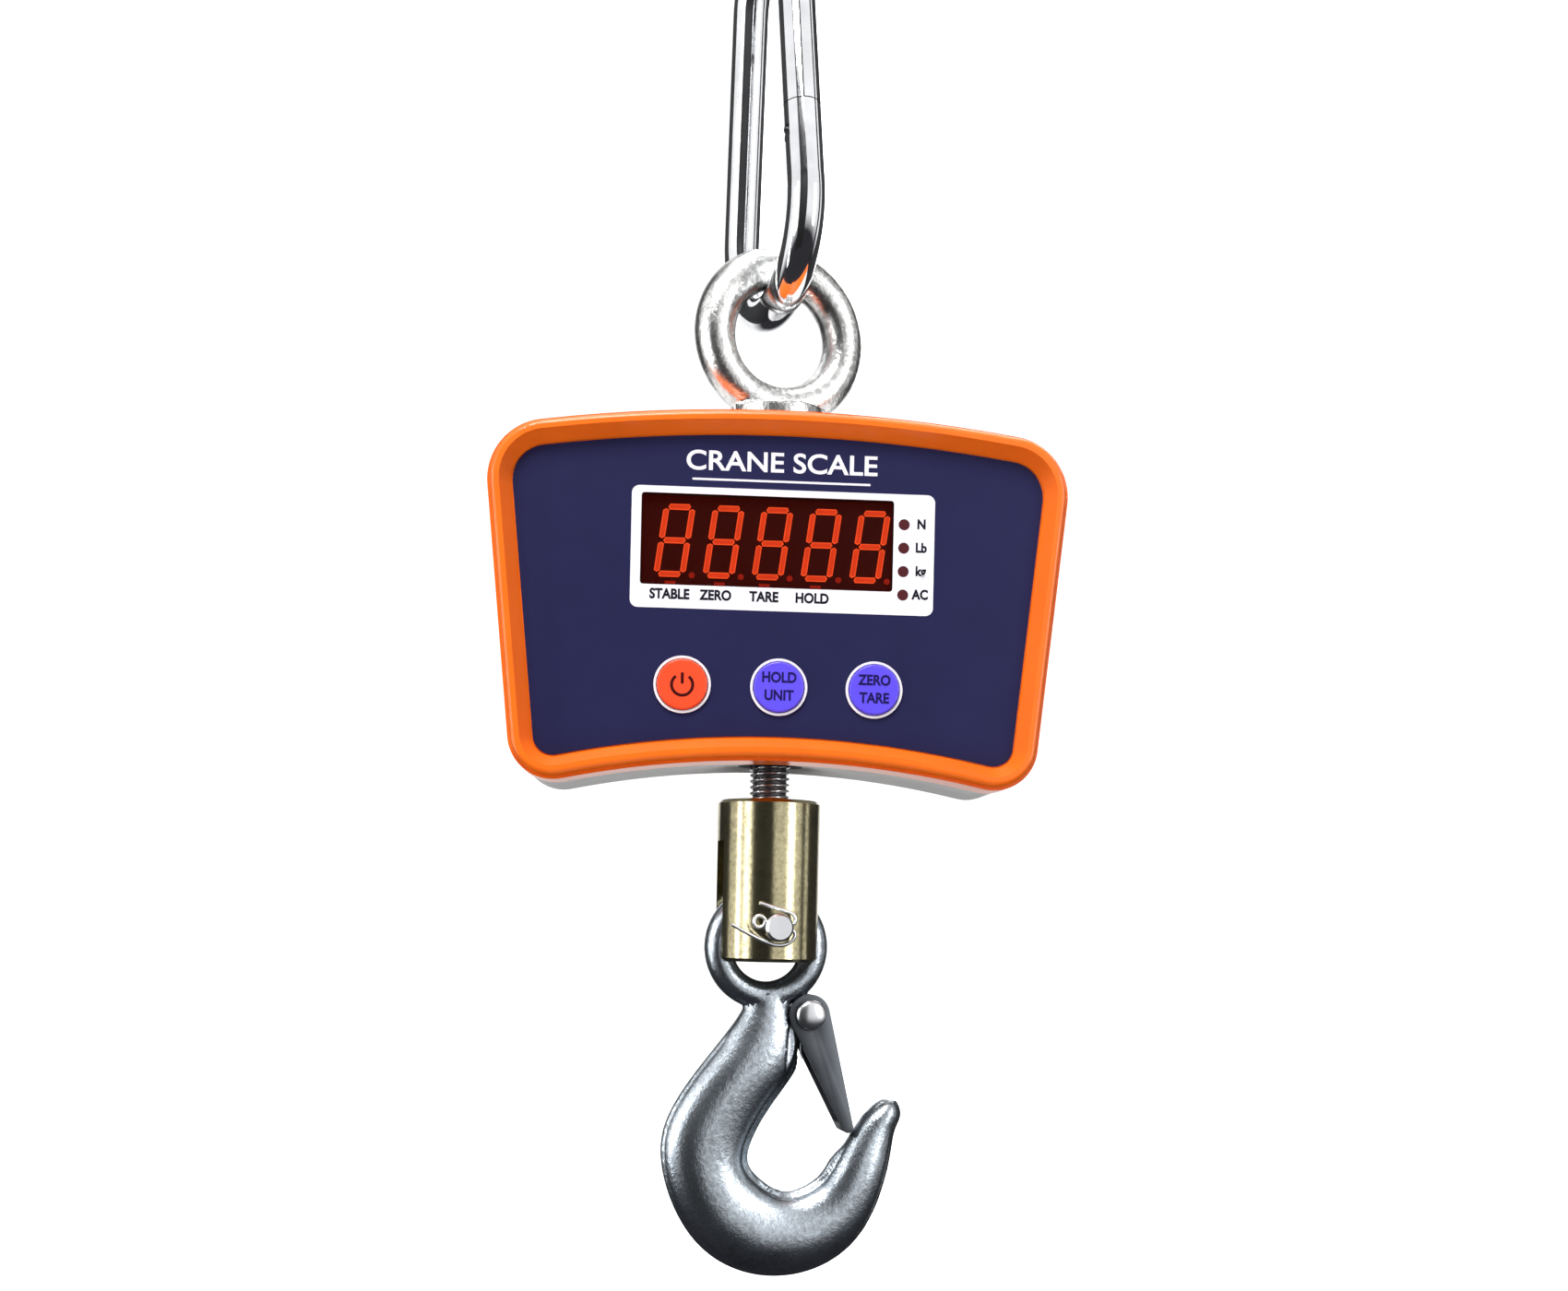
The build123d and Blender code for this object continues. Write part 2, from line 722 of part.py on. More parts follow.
cell_route = [
    (-cell_width / 2, 5.0, cell_plug[1] + 12.0),
    (cell_plug[0], 5.0, cell_plug[1] + 12.0),
    (cell_plug[0], 5.0, cell_plug[1]),
    (cell_plug[0], plug_back_y, cell_plug[1]),
]
cell_cable = lead(cell_route, lead_r, 5.0)
save(cell_cable, "cell_cable")

socket_back_y = rear_y - 0.3
socket_front_y = 12.0
with BuildPart() as charge_socket:
    with BuildSketch(front_plane(socket_back_y)):
        with Locations(socket_spot):
            Circle(socket_r)
    extrude(amount=socket_back_y - socket_front_y)
    with BuildSketch(front_plane(rear_inner_y - 0.1)):
        with Locations(socket_spot):
            Circle(socket_r + 2.0)
    extrude(amount=2.5)
    with BuildSketch(front_plane(socket_back_y)):
        with Locations(socket_spot):
            Circle(2.8)
            Circle(1.0, mode=Mode.SUBTRACT)
    extrude(amount=9.0, mode=Mode.SUBTRACT)
save(charge_socket, "charge_socket")
charge_lead = round_column([socket_spot], lead_r, socket_front_y, plug_back_y)
save(charge_lead, "charge_lead")

# Swivel barrel on the stud, held by a round nut and a thrust washer inside it
washer_top_z = barrel_top_z - barrel_roof - 0.2
washer_thick = 2.0
lock_nut_thick = 6.0
hook_plane = Plane(
    origin=(0, 0, eye_z),
    x_dir=(cos(radians(hook_yaw)), sin(radians(hook_yaw)), 0),
    z_dir=(sin(radians(hook_yaw)), -cos(radians(hook_yaw)), 0),
)
hook_frame = Plane(hook_plane.location * Rot(0, 0, hook_lean))
pin_height = pin_z - eye_z


def thread_ring(top_z, thick, outer_r):
    with BuildPart() as ring:
        with BuildSketch(Plane.XY.offset(top_z)):
            Circle(outer_r)
            Circle(shank_r + 0.05, mode=Mode.SUBTRACT)
        extrude(amount=-thick)
    return ring


thrust_washer = thread_ring(washer_top_z, washer_thick, 9.8)
save(thrust_washer, "thrust_washer")
stud_lock_nut = thread_ring(washer_top_z - washer_thick - 0.02, lock_nut_thick, 9.5)
save(stud_lock_nut, "stud_lock_nut")

with BuildPart() as swivel_barrel:
    with BuildSketch(Plane.XY.offset(barrel_low_z)):
        Circle(barrel_r)
    extrude(amount=barrel_top_z - barrel_low_z)
    chamfer(swivel_barrel.edges().filter_by(GeomType.CIRCLE), 1.0)
    with BuildSketch(Plane.XY.offset(barrel_low_z)):
        Circle(barrel_bore_r)
    extrude(amount=barrel_top_z - barrel_roof - barrel_low_z, mode=Mode.SUBTRACT)
    with BuildSketch(Plane.XY.offset(barrel_top_z)):
        Circle(shank_r + 0.3)
    extrude(amount=-barrel_roof, mode=Mode.SUBTRACT)
    # slot for the hook's eye, open at both sides
    with BuildSketch(hook_plane):
        with Locations((0, (slot_top_z + barrel_low_z) / 2 - 1 - eye_z)):
            Rectangle(4 * barrel_r, slot_top_z - barrel_low_z + 2)
    extrude(amount=slot_half, both=True, mode=Mode.SUBTRACT)
    with BuildSketch(hook_plane):
        with Locations((0, pin_height)):
            Circle(pin_r + 0.1)
    extrude(amount=2 * barrel_r, both=True, mode=Mode.SUBTRACT)
save(swivel_barrel, "swivel_barrel")

with BuildPart() as clevis_pin:
    with BuildSketch(hook_plane.offset(-barrel_r - pin_head_thick - 0.2)):
        with Locations((0, pin_height)):
            Circle(pin_head_r)
    extrude(amount=pin_head_thick)
    with BuildSketch(hook_plane.offset(-barrel_r - 1.0)):
        with Locations((0, pin_height)):
            Circle(pin_r)
    extrude(amount=barrel_r + 1.0 + pin_front)
    chamfer(clevis_pin.faces().sort_by(Axis(hook_plane.origin, hook_plane.z_dir))[-1].edges(), 0.6)
    cotter_bore = Plane(
        origin=hook_plane.from_local_coords((0, pin_height, cotter_at)), z_dir=hook_plane.x_dir
    )
    with BuildSketch(cotter_bore):
        Circle(cotter_hole_r)
    extrude(amount=2 * pin_r, both=True, mode=Mode.SUBTRACT)
save(clevis_pin, "clevis_pin")

# Split cotter: loop on the left, two legs bent back over and under the clevis pin
cotter_plane = hook_plane.offset(cotter_at)
loop_x = -5.9
cotter_legs = [
    [(-4.2, 0.75), (5.6, 0.75), (5.6, 5.2), (-5.6, 6.8)],
    [(-4.2, -0.75), (5.6, -0.75), (5.6, -5.4), (-4.0, -5.4), (-13.6, 0.0)],
]
with BuildPart() as cotter_pin:
    with Locations(cotter_plane.location * Pos(loop_x, pin_height, 0)):
        Torus(cotter_loop_r, cotter_wire_r)
    for leg in cotter_legs:
        with BuildLine(cotter_plane) as leg_route:
            FilletPolyline(*[(x, z + pin_height) for x, z in leg], radius=1.2)
        with BuildSketch(Plane(origin=leg_route.line @ 0, z_dir=leg_route.line % 0)):
            Circle(cotter_wire_r)
        sweep(path=leg_route.line)
save(cotter_pin, "cotter_pin")

# Hook: each section runs from the outer edge to the inner edge of the forging, with its thickness
hook_sections = [
    ((-6.8, -13.4), (6.6, -13.4), 8.4),
    ((-8.6, -20.0), (8.4, -21.0), 10.4),
    ((-16.6, -30.0), (9.0, -31.0), 13.0),
    ((-28.2, -45.5), (-0.3, -45.6), 14.0),
    ((-31.9, -61.5), (-7.6, -59.4), 14.0),
    ((-22.2, -85.2), (-4.4, -68.2), 14.0),
    ((2.0, -96.6), (5.2, -73.2), 14.0),
    ((26.2, -86.8), (14.8, -69.8), 13.0),
    ((36.2, -65.6), (19.8, -63.6), 12.0),
    ((38.6, -54.8), (25.4, -54.8), 9.6),
    ((40.2, -49.4), (32.0, -47.4), 7.4),
    ((38.8, -46.2), (34.9, -45.8), 4.4),
]
latch_run = Vector(latch_tip[0] - latch_pivot[0], latch_tip[1] - latch_pivot[1])
latch_length = latch_run.length
latch_angle = degrees(atan2(latch_run.Y, latch_run.X))


def latch_profile(grow):
    # side view of the latch along local +X: a lobe round the pivot that tapers to a round tip
    big = latch_lobe_r + grow
    small = latch_tip_r + grow
    tilt = asin((big - small) / latch_length)
    touch_big = (big * sin(tilt), big * cos(tilt))
    touch_small = (latch_length + small * sin(tilt), small * cos(tilt))
    with BuildSketch() as profile:
        with BuildLine():
            ThreePointArc(touch_big, (-big, 0), (touch_big[0], -touch_big[1]))
            Line((touch_big[0], -touch_big[1]), (touch_small[0], -touch_small[1]))
            ThreePointArc(
                (touch_small[0], -touch_small[1]), (latch_length + small, 0), touch_small
            )
            Line(touch_small, touch_big)
        make_face()
    return profile.sketch_local


def latch_plane(opening):
    # the latch's own plane, turned towards the inside of the hook by the opening angle
    return Plane(hook_frame.location * Pos(*latch_pivot, 0) * Rot(0, 0, latch_angle - opening))


with BuildPart() as hook_forging:
    for outer, inner, thickness in hook_sections:
        across = Vector(inner[0] - outer[0], inner[1] - outer[1])
        middle = ((outer[0] + inner[0]) / 2, (outer[1] + inner[1]) / 2, 0)
        in_world = hook_frame.x_dir * across.X + hook_frame.y_dir * across.Y
        flow = in_world.cross(hook_frame.z_dir)
        with BuildSketch(Plane(origin=hook_frame.from_local_coords(middle), x_dir=in_world, z_dir=flow)):
            Ellipse(across.length / 2, thickness / 2)
    loft()
    with Locations(hook_frame):
        Torus(eye_r, eye_wire_r)
    with BuildSketch(hook_frame):
        with Locations(latch_pivot):
            Circle(lug_r)
        with Locations((latch_pivot[0] - 4.5, latch_pivot[1] - 1.0)):
            Rectangle(9.0, 8.0)
    extrude(amount=lug_half, both=True)
    # room for the latch's cheeks beside the lug, over the latch's whole travel
    for step in range(5):
        for side in (1, -1):
            with BuildSketch(latch_plane(step * latch_open / 4).offset(side * (lug_half + 0.05))):
                add(latch_profile(0.4))
            extrude(amount=side * 8.0, mode=Mode.SUBTRACT)
    with BuildSketch(hook_frame):
        with Locations(latch_pivot):
            Circle(rivet_r + 0.05)
    extrude(amount=10.0, both=True, mode=Mode.SUBTRACT)
    # pocket in the lug for the latch's spring, open on one side and downwards
    with BuildSketch(hook_frame.offset(spring_side[0] - 0.1)):
        with Locations(latch_pivot):
            Circle(spring_coil[1] + 0.15)
        with Locations((latch_pivot[0] + spring_leg_x, latch_pivot[1] - spring_leg_length / 2 - 0.5)):
            Rectangle(1.7, spring_leg_length + 1.0)
    extrude(amount=lug_half, mode=Mode.SUBTRACT)
save(hook_forging, "hook_forging")

with BuildPart() as latch_spring:
    with BuildSketch(hook_frame.offset(spring_side[0])):
        with Locations(latch_pivot):
            Circle(spring_coil[1])
            Circle(spring_coil[0], mode=Mode.SUBTRACT)
        with Locations((latch_pivot[0] + spring_leg_x, latch_pivot[1] - spring_coil[0] - 4.5)):
            Rectangle(1.0, spring_leg_length - spring_coil[0])
    extrude(amount=spring_side[1] - spring_side[0])
save(latch_spring, "latch_spring")

channel_half = latch_half - latch_sheet
with BuildPart() as safety_latch:
    with BuildSketch(latch_plane(0)):
        add(latch_profile(0))
    extrude(amount=latch_half, both=True)
    with BuildSketch(latch_plane(0)):
        with BuildLine():
            Polyline(
                (-10, 10), (7.5, 10), (7.5, 2.6), (latch_length - 2.0, 0.4),
                (latch_length - 2.0, -10), (-10, -10), close=True,
            )
        make_face()
    extrude(amount=channel_half, both=True, mode=Mode.SUBTRACT)
    with BuildSketch(latch_plane(0)):
        Circle(latch_bore_r)
    extrude(amount=10.0, both=True, mode=Mode.SUBTRACT)
save(safety_latch, "safety_latch")

rivet_half = latch_half + 1.7
with BuildPart() as latch_rivet:
    with BuildSketch(hook_frame):
        with Locations(latch_pivot):
            Circle(rivet_r)
    extrude(amount=rivet_half, both=True)
    for side in (1, -1):
        with BuildSketch(hook_frame.offset(side * (latch_half + 0.1))):
            with Locations(latch_pivot):
                Circle(rivet_head_r)
        extrude(amount=side * (rivet_half - latch_half - 0.1))
save(latch_rivet, "latch_rivet")
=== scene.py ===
import bpy
import json
import math
from mathutils import Matrix, Vector


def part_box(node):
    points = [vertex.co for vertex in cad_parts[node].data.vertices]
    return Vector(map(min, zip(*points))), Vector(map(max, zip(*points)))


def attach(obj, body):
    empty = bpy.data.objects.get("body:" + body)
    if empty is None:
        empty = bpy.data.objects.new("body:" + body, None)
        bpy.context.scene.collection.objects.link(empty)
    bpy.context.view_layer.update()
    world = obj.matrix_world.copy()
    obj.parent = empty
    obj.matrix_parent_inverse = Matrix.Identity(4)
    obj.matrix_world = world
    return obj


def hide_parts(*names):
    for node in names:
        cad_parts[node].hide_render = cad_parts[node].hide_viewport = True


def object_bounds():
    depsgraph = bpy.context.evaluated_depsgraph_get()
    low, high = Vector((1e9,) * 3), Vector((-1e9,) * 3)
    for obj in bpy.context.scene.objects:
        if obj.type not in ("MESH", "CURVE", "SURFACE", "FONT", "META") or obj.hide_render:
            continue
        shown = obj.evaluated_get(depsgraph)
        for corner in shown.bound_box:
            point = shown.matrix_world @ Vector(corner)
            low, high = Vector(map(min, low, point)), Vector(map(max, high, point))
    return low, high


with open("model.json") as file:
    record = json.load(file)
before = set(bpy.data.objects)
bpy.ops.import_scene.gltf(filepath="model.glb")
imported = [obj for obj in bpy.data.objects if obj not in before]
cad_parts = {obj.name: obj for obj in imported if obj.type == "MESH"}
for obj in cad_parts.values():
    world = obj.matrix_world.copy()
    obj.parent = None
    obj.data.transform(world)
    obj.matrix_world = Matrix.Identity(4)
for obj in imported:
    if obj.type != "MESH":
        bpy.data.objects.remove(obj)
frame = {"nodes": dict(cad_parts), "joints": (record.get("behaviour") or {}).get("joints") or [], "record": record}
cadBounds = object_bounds()
nodes = frame["nodes"]
joints = {joint["name"]: joint for joint in frame["joints"]}
mm = 0.001


# where things are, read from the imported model
def middleOf(node):
    low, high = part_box(node)
    return (Vector(low) + Vector(high)) / 2


latchJoint = joints["latch_hinge"]
pinJoint = joints["hook_swing"]
hookOut = Vector(pinJoint["axis"]).normalized()          # out of the hook's plane, towards the viewer
hookSide = Vector((-hookOut.y, hookOut.x, 0.0))          # along the hook's opening, to the viewer's right
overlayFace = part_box("front_overlay")[0].y
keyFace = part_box("power_key")[0].y


def facing(side, out, origin):
    # matrix of a flat local frame: x along side, y up, z out of the surface
    up = Vector((0, 0, 1))
    matrix = Matrix((side, up, out)).transposed().to_4x4()
    matrix.translation = origin
    return matrix


frontFrame = facing(Vector((1, 0, 0)), Vector((0, -1, 0)), Vector((0, 0, 0)))


# small helpers for work in edit mode
def deselect():
    if bpy.context.object and bpy.context.object.mode == "EDIT":
        bpy.ops.object.mode_set(mode="OBJECT")
    bpy.ops.object.select_all(action="DESELECT")


def take(*objects):
    deselect()
    for obj in objects:
        obj.select_set(True)
    bpy.context.view_layer.objects.active = objects[0]


def named(name):
    obj = bpy.context.object
    obj.name = name
    obj.data.name = name
    return obj


def applyModifiers(obj):
    take(obj)
    for modifier in list(obj.modifiers):
        bpy.ops.object.modifier_apply(modifier=modifier.name)


def joinAll(objects, name):
    take(*objects)
    if len(objects) > 1:
        bpy.ops.object.join()
    return named(name)


def outward(obj):
    take(obj)
    bpy.ops.object.mode_set(mode="EDIT")
    bpy.ops.mesh.select_all(action="SELECT")
    bpy.ops.mesh.remove_doubles(threshold=0.000002)
    bpy.ops.mesh.normals_make_consistent(inside=False)
    bpy.ops.object.mode_set(mode="OBJECT")


def settle(obj, matrix=None):
    # puts the place into the mesh, so that the object stands at the origin
    if matrix is not None:
        obj.matrix_world = matrix @ obj.matrix_world
    take(obj)
    bpy.ops.object.transform_apply(location=True, rotation=True, scale=True)


def smoothed(obj, angle=35):
    take(obj)
    bpy.ops.object.shade_smooth_by_angle(angle=math.radians(angle))


def finishPiece(obj, body, material, replaced=()):
    obj.data.materials.clear()
    obj.data.materials.append(material)
    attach(obj, body)
    if replaced:
        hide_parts(*replaced)
    return obj


# materials
def startMaterial(name, colour, metallic=0.0, roughness=0.5):
    material = bpy.data.materials.new(name)
    material.use_nodes = True
    tree = material.node_tree
    shader = tree.nodes["Principled BSDF"]
    shader.inputs["Base Color"].default_value = (*colour, 1)
    shader.inputs["Metallic"].default_value = metallic
    shader.inputs["Roughness"].default_value = roughness
    where = tree.nodes.new("ShaderNodeTexCoord")
    return material, tree, shader, where.outputs["Object"]


def noiseNode(tree, coordinates, scale, detail=3.0, rough=0.55):
    noise = tree.nodes.new("ShaderNodeTexNoise")
    noise.inputs["Scale"].default_value = scale
    noise.inputs["Detail"].default_value = detail
    noise.inputs["Roughness"].default_value = rough
    tree.links.new(coordinates, noise.inputs["Vector"])
    return noise.outputs["Fac"]


def rampNode(tree, factor, stops):
    ramp = tree.nodes.new("ShaderNodeValToRGB")
    while len(ramp.color_ramp.elements) < len(stops):
        ramp.color_ramp.elements.new(0.5)
    for element, (place, colour) in zip(ramp.color_ramp.elements, stops):
        element.position = place
        element.color = (*colour, 1)
    tree.links.new(factor, ramp.inputs["Fac"])
    return ramp.outputs["Color"]


def rangeNode(tree, factor, low, high):
    ranged = tree.nodes.new("ShaderNodeMapRange")
    ranged.inputs["To Min"].default_value = low
    ranged.inputs["To Max"].default_value = high
    tree.links.new(factor, ranged.inputs["Value"])
    return ranged.outputs["Result"]


def bumpNode(tree, shader, height, strength, distance, below=None):
    bump = tree.nodes.new("ShaderNodeBump")
    bump.inputs["Strength"].default_value = strength
    bump.inputs["Distance"].default_value = distance
    tree.links.new(height, bump.inputs["Height"])
    if below is not None:
        tree.links.new(below, bump.inputs["Normal"])
    tree.links.new(bump.outputs["Normal"], shader.inputs["Normal"])
    return bump.outputs["Normal"]


def shade(colour, amount):
    return tuple(min(1.0, channel * amount) for channel in colour)


castFinish = {"grain": 620.0, "pits": 1500.0, "patch": 60.0}


def castMetal(name, colour, roughness, depth, contrast):
    # plated casting or forging: fine bright grain over slow darker patches
    material, tree, shader, where = startMaterial(name, colour, 1.0, roughness)
    grain = noiseNode(tree, where, castFinish["grain"], 4.0, 0.7)
    patch = noiseNode(tree, where, castFinish["patch"], 2.0)
    pits = noiseNode(tree, where, castFinish["pits"], 2.0)
    mixed = tree.nodes.new("ShaderNodeMix")
    mixed.data_type = "FLOAT"
    mixed.inputs["Factor"].default_value = 0.35
    tree.links.new(grain, mixed.inputs["A"])
    tree.links.new(patch, mixed.inputs["B"])
    stops = [(0.32, shade(colour, 1 - contrast)), (0.5, colour), (0.66, shade(colour, 1 + contrast * 0.7))]
    tree.links.new(rampNode(tree, mixed.outputs["Result"], stops), shader.inputs["Base Color"])
    tree.links.new(rangeNode(tree, grain, roughness * 1.35, roughness * 0.65), shader.inputs["Roughness"])
    first = bumpNode(tree, shader, grain, 0.55, depth)
    bumpNode(tree, shader, pits, 0.3, depth * 0.4, first)
    return material


def platedSteel(name, colour, roughness):
    # turned or drawn plated steel: nearly smooth, with faint clouding and hairlines
    material, tree, shader, where = startMaterial(name, colour, 1.0, roughness)
    cloud = noiseNode(tree, where, 90.0, 3.0)
    fine = noiseNode(tree, where, 1800.0, 2.0)
    stops = [(0.3, shade(colour, 0.86)), (0.7, shade(colour, 1.08))]
    tree.links.new(rampNode(tree, cloud, stops), shader.inputs["Base Color"])
    tree.links.new(rangeNode(tree, cloud, roughness * 0.7, roughness * 1.4), shader.inputs["Roughness"])
    bumpNode(tree, shader, fine, 0.12, 0.00002)
    return material


def mouldedPlastic(name, colour, roughness, coat=0.0, grain=2400.0, depth=0.00001, gloss=0.5):
    # moulded plastic: slight mottling, fine surface grain and optional gloss
    material, tree, shader, where = startMaterial(name, colour, 0.0, roughness)
    shader.inputs["Coat Weight"].default_value = coat
    shader.inputs["Coat Roughness"].default_value = 0.08
    shader.inputs["Specular IOR Level"].default_value = gloss
    mottle = noiseNode(tree, where, 70.0, 3.0)
    fine = noiseNode(tree, where, grain, 2.0)
    stops = [(0.3, shade(colour, 0.94)), (0.7, shade(colour, 1.04))]
    tree.links.new(rampNode(tree, mottle, stops), shader.inputs["Base Color"])
    tree.links.new(rangeNode(tree, fine, roughness * 0.85, roughness * 1.15), shader.inputs["Roughness"])
    bumpNode(tree, shader, fine, 0.25, depth)
    return material


def glowing(name, colour, dark, strength, scale):
    # lit plastic: a clear core with slightly uneven brightness
    material, tree, shader, where = startMaterial(name, dark, 0.0, 0.35)
    uneven = noiseNode(tree, where, scale, 2.0)
    stops = [(0.3, shade(colour, 0.82)), (0.7, colour)]
    tree.links.new(rampNode(tree, uneven, stops), shader.inputs["Emission Color"])
    shader.inputs["Emission Strength"].default_value = strength
    shader.inputs["Specular IOR Level"].default_value = 0.1
    return material


finishes = {
    "chrome": platedSteel("link_chrome", (0.80, 0.81, 0.83), 0.07),
    "ringZinc": castMetal("ring_cast_zinc", (0.60, 0.60, 0.59), 0.22, 0.00030, 0.6),
    "hookZinc": castMetal("hook_forged_zinc", (0.38, 0.42, 0.46), 0.25, 0.00022, 0.5),
    "barrelZinc": castMetal("barrel_yellow_zinc", (0.40, 0.36, 0.22), 0.17, 0.00006, 0.45),
    "latchZinc": platedSteel("latch_stamped_zinc", (0.10, 0.108, 0.12), 0.42),
    "steel": platedSteel("turned_steel", (0.62, 0.63, 0.65), 0.22),
    # much darker steel for the faces deep in the thread grooves: painted shade, not a different metal
    "threadShadeSteel": platedSteel("thread_groove_painted_shade", (0.10, 0.10, 0.105), 0.4),
    "cotterWire": platedSteel("cotter_wire", (0.85, 0.86, 0.87), 0.25),
    "housingGrey": mouldedPlastic("housing_cast_grey", (0.85, 0.84, 0.84), 0.5, 0.0, 900.0, 0.0001, 0.3),
    "bezelOrange": mouldedPlastic("bezel_gloss_orange", (1.0, 0.165, 0.008), 0.3, 0.25, 1600.0,
                                  0.000006, 0.3),
    "overlayNavy": mouldedPlastic("overlay_satin_navy", (0.016, 0.016, 0.064), 0.42, 0.0, 2600.0,
                                  0.000012, 0.12),
    "printWhite": mouldedPlastic("print_white", (0.86, 0.83, 0.90), 0.45),
    "printDark": mouldedPlastic("print_dark", (0.008, 0.007, 0.014), 0.5, gloss=0.1),
    "printNavy": mouldedPlastic("print_navy", (0.012, 0.006, 0.085), 0.5, gloss=0.1),
    "printMaroon": mouldedPlastic("print_maroon", (0.045, 0.002, 0.002), 0.5, gloss=0.1),
    "ringWhite": mouldedPlastic("ring_satin_white", (0.88, 0.84, 0.88), 0.35, 0.3),
    "keyRed": mouldedPlastic("key_satin_red", (0.90, 0.075, 0.02), 0.34, 0.2, gloss=0.3),
    "keyBlue": mouldedPlastic("key_satin_violet", (0.115, 0.075, 0.85), 0.34, 0.2, gloss=0.3),
    "lampMaroon": mouldedPlastic("lamp_dark_red", (0.075, 0.008, 0.012), 0.18, 0.4),
    "moduleDark": glowing("module_dark_red", (0.050, 0.0015, 0.0), (0.008, 0.0004, 0.0), 0.45, 90.0),
    "segments": glowing("segments_lit_red", (0.66, 0.042, 0.006), (0.2, 0.01, 0.005), 1.15, 260.0),
    "segmentEdge": glowing("segment_bright_edge", (0.90, 0.085, 0.015), (0.2, 0.01, 0.005), 1.2, 260.0),
    "statusGlow": glowing("status_dim_red", (0.35, 0.012, 0.003), (0.05, 0.003, 0.002), 0.9, 400.0),
    "rubber": mouldedPlastic("black_rubber", (0.016, 0.016, 0.017), 0.7, 0.0, 1200.0, 0.00003),
    "boardGreen": mouldedPlastic("board_solder_mask", (0.015, 0.14, 0.05), 0.35, 0.3),
    "moulded": mouldedPlastic("moulded_black", (0.02, 0.02, 0.021), 0.5),
    "wrap": mouldedPlastic("battery_shrink_wrap", (0.04, 0.10, 0.32), 0.28, 0.4),
    "cellMetal": platedSteel("cell_machined", (0.62, 0.63, 0.64), 0.32),
    "plateMetal": platedSteel("plate_brushed", (0.66, 0.66, 0.67), 0.35),
    "potting": mouldedPlastic("gauge_potting", (0.62, 0.62, 0.58), 0.5),
}


def tintedWindow():
    material, tree, shader, where = startMaterial("window_dark_red", (0.045, 0.0015, 0.0008), 0.0, 0.12)
    cloud = noiseNode(tree, where, 60.0, 2.0)
    stops = [(0.3, (0.035, 0.001, 0.0005)), (0.7, (0.055, 0.002, 0.001))]
    tree.links.new(rampNode(tree, cloud, stops), shader.inputs["Base Color"])
    shader.inputs["Alpha"].default_value = 0.12
    shader.inputs["Specular IOR Level"].default_value = 0.05
    return material


finishes["window"] = tintedWindow()

# each CAD node that stays takes one of the finishes
nodeFinish = {
    "chrome": ["link_body", "link_gate"],
    "steel": ["gate_rivet", "gate_spring", "gate_plunger", "thrust_washer", "clevis_pin", "housing_screws",
              "board_screws", "stud_lock_nut", "upper_nuts", "cell_lock_nut"],
    "cellMetal": ["load_cell"],
    "potting": ["gauge_potting"],
    "rubber": ["upper_seal", "lower_seal", "housing_gasket"],
    "housingGrey": ["rear_housing"],
    "plateMetal": ["rear_plate"],
    "bezelOrange": ["front_bezel"],
    "overlayNavy": ["front_overlay"],
    "window": ["display_window"],
    "moduleDark": ["display_module"],
    "statusGlow": ["status_lamps"],
    "segments": ["digit_segments"],
    "lampMaroon": ["unit_lamps"],
    "boardGreen": ["main_board"],
    "moulded": ["board_chips", "sounder", "tact_switches", "battery_tray", "battery_lead", "cell_cable",
                "charge_socket", "charge_lead"],
    "ringWhite": ["board_plugs", "button_guides"],
    "wrap": ["battery"],
    "keyRed": ["power_key"],
    "keyBlue": ["hold_key", "zero_key"],
    "barrelZinc": ["swivel_barrel"],
    "latchZinc": ["safety_latch"],
    "ringZinc": ["eye_bolt"],
    "hookZinc": ["hook_forging"],
}
for finish, names in nodeFinish.items():
    for name in names:
        mesh = nodes[name].data
        mesh.materials.clear()
        mesh.materials.append(finishes[finish])
print("materials on the frame's parts")


# copies of a forging's CAD shape, remeshed so that its joins flow together
def copyOf(node, name):
    deselect()
    source = nodes[node]
    duplicate = bpy.data.objects.new(name, source.data.copy())
    bpy.context.scene.collection.objects.link(duplicate)
    duplicate.data.materials.clear()
    take(duplicate)
    bpy.ops.object.mode_set(mode="EDIT")
    bpy.ops.mesh.select_all(action="SELECT")
    bpy.ops.mesh.remove_doubles(threshold=0.000004)
    bpy.ops.mesh.normals_make_consistent(inside=False)
    bpy.ops.object.mode_set(mode="OBJECT")
    return named(name)


def flowTogether(obj, voxel, rounds):
    take(obj)
    obj.data.remesh_voxel_size = voxel
    obj.data.use_remesh_preserve_volume = True
    bpy.ops.object.voxel_remesh()
    soften = obj.modifiers.new("soften", "SMOOTH")
    soften.factor = 0.5
    soften.iterations = rounds
    applyModifiers(obj)
    bpy.ops.object.shade_smooth()


# forged hook: a flat flash land runs round its edge, one step proud of the rounded faces
hookShape = {"voxel": 0.0006, "soften": 5, "landHalf": 0.0011, "landEdge": 0.0007, "step": 0.00055,
             "innerStep": 0.0015, "innerFrom": 0.1, "innerOver": 0.4, "bowlRadius": 0.0135,
             "fadeFrom": 0.029, "fadeOver": 0.006, "latchFrom": 0.003, "latchOver": 0.0084,
             "tipSide": 0.002, "tipFrom": 0.005, "tipOver": 0.006}


def easedStep(value, start, width):
    share = min(1.0, max(0.0, (value - start) / width))
    return share * share * (3 - 2 * share)


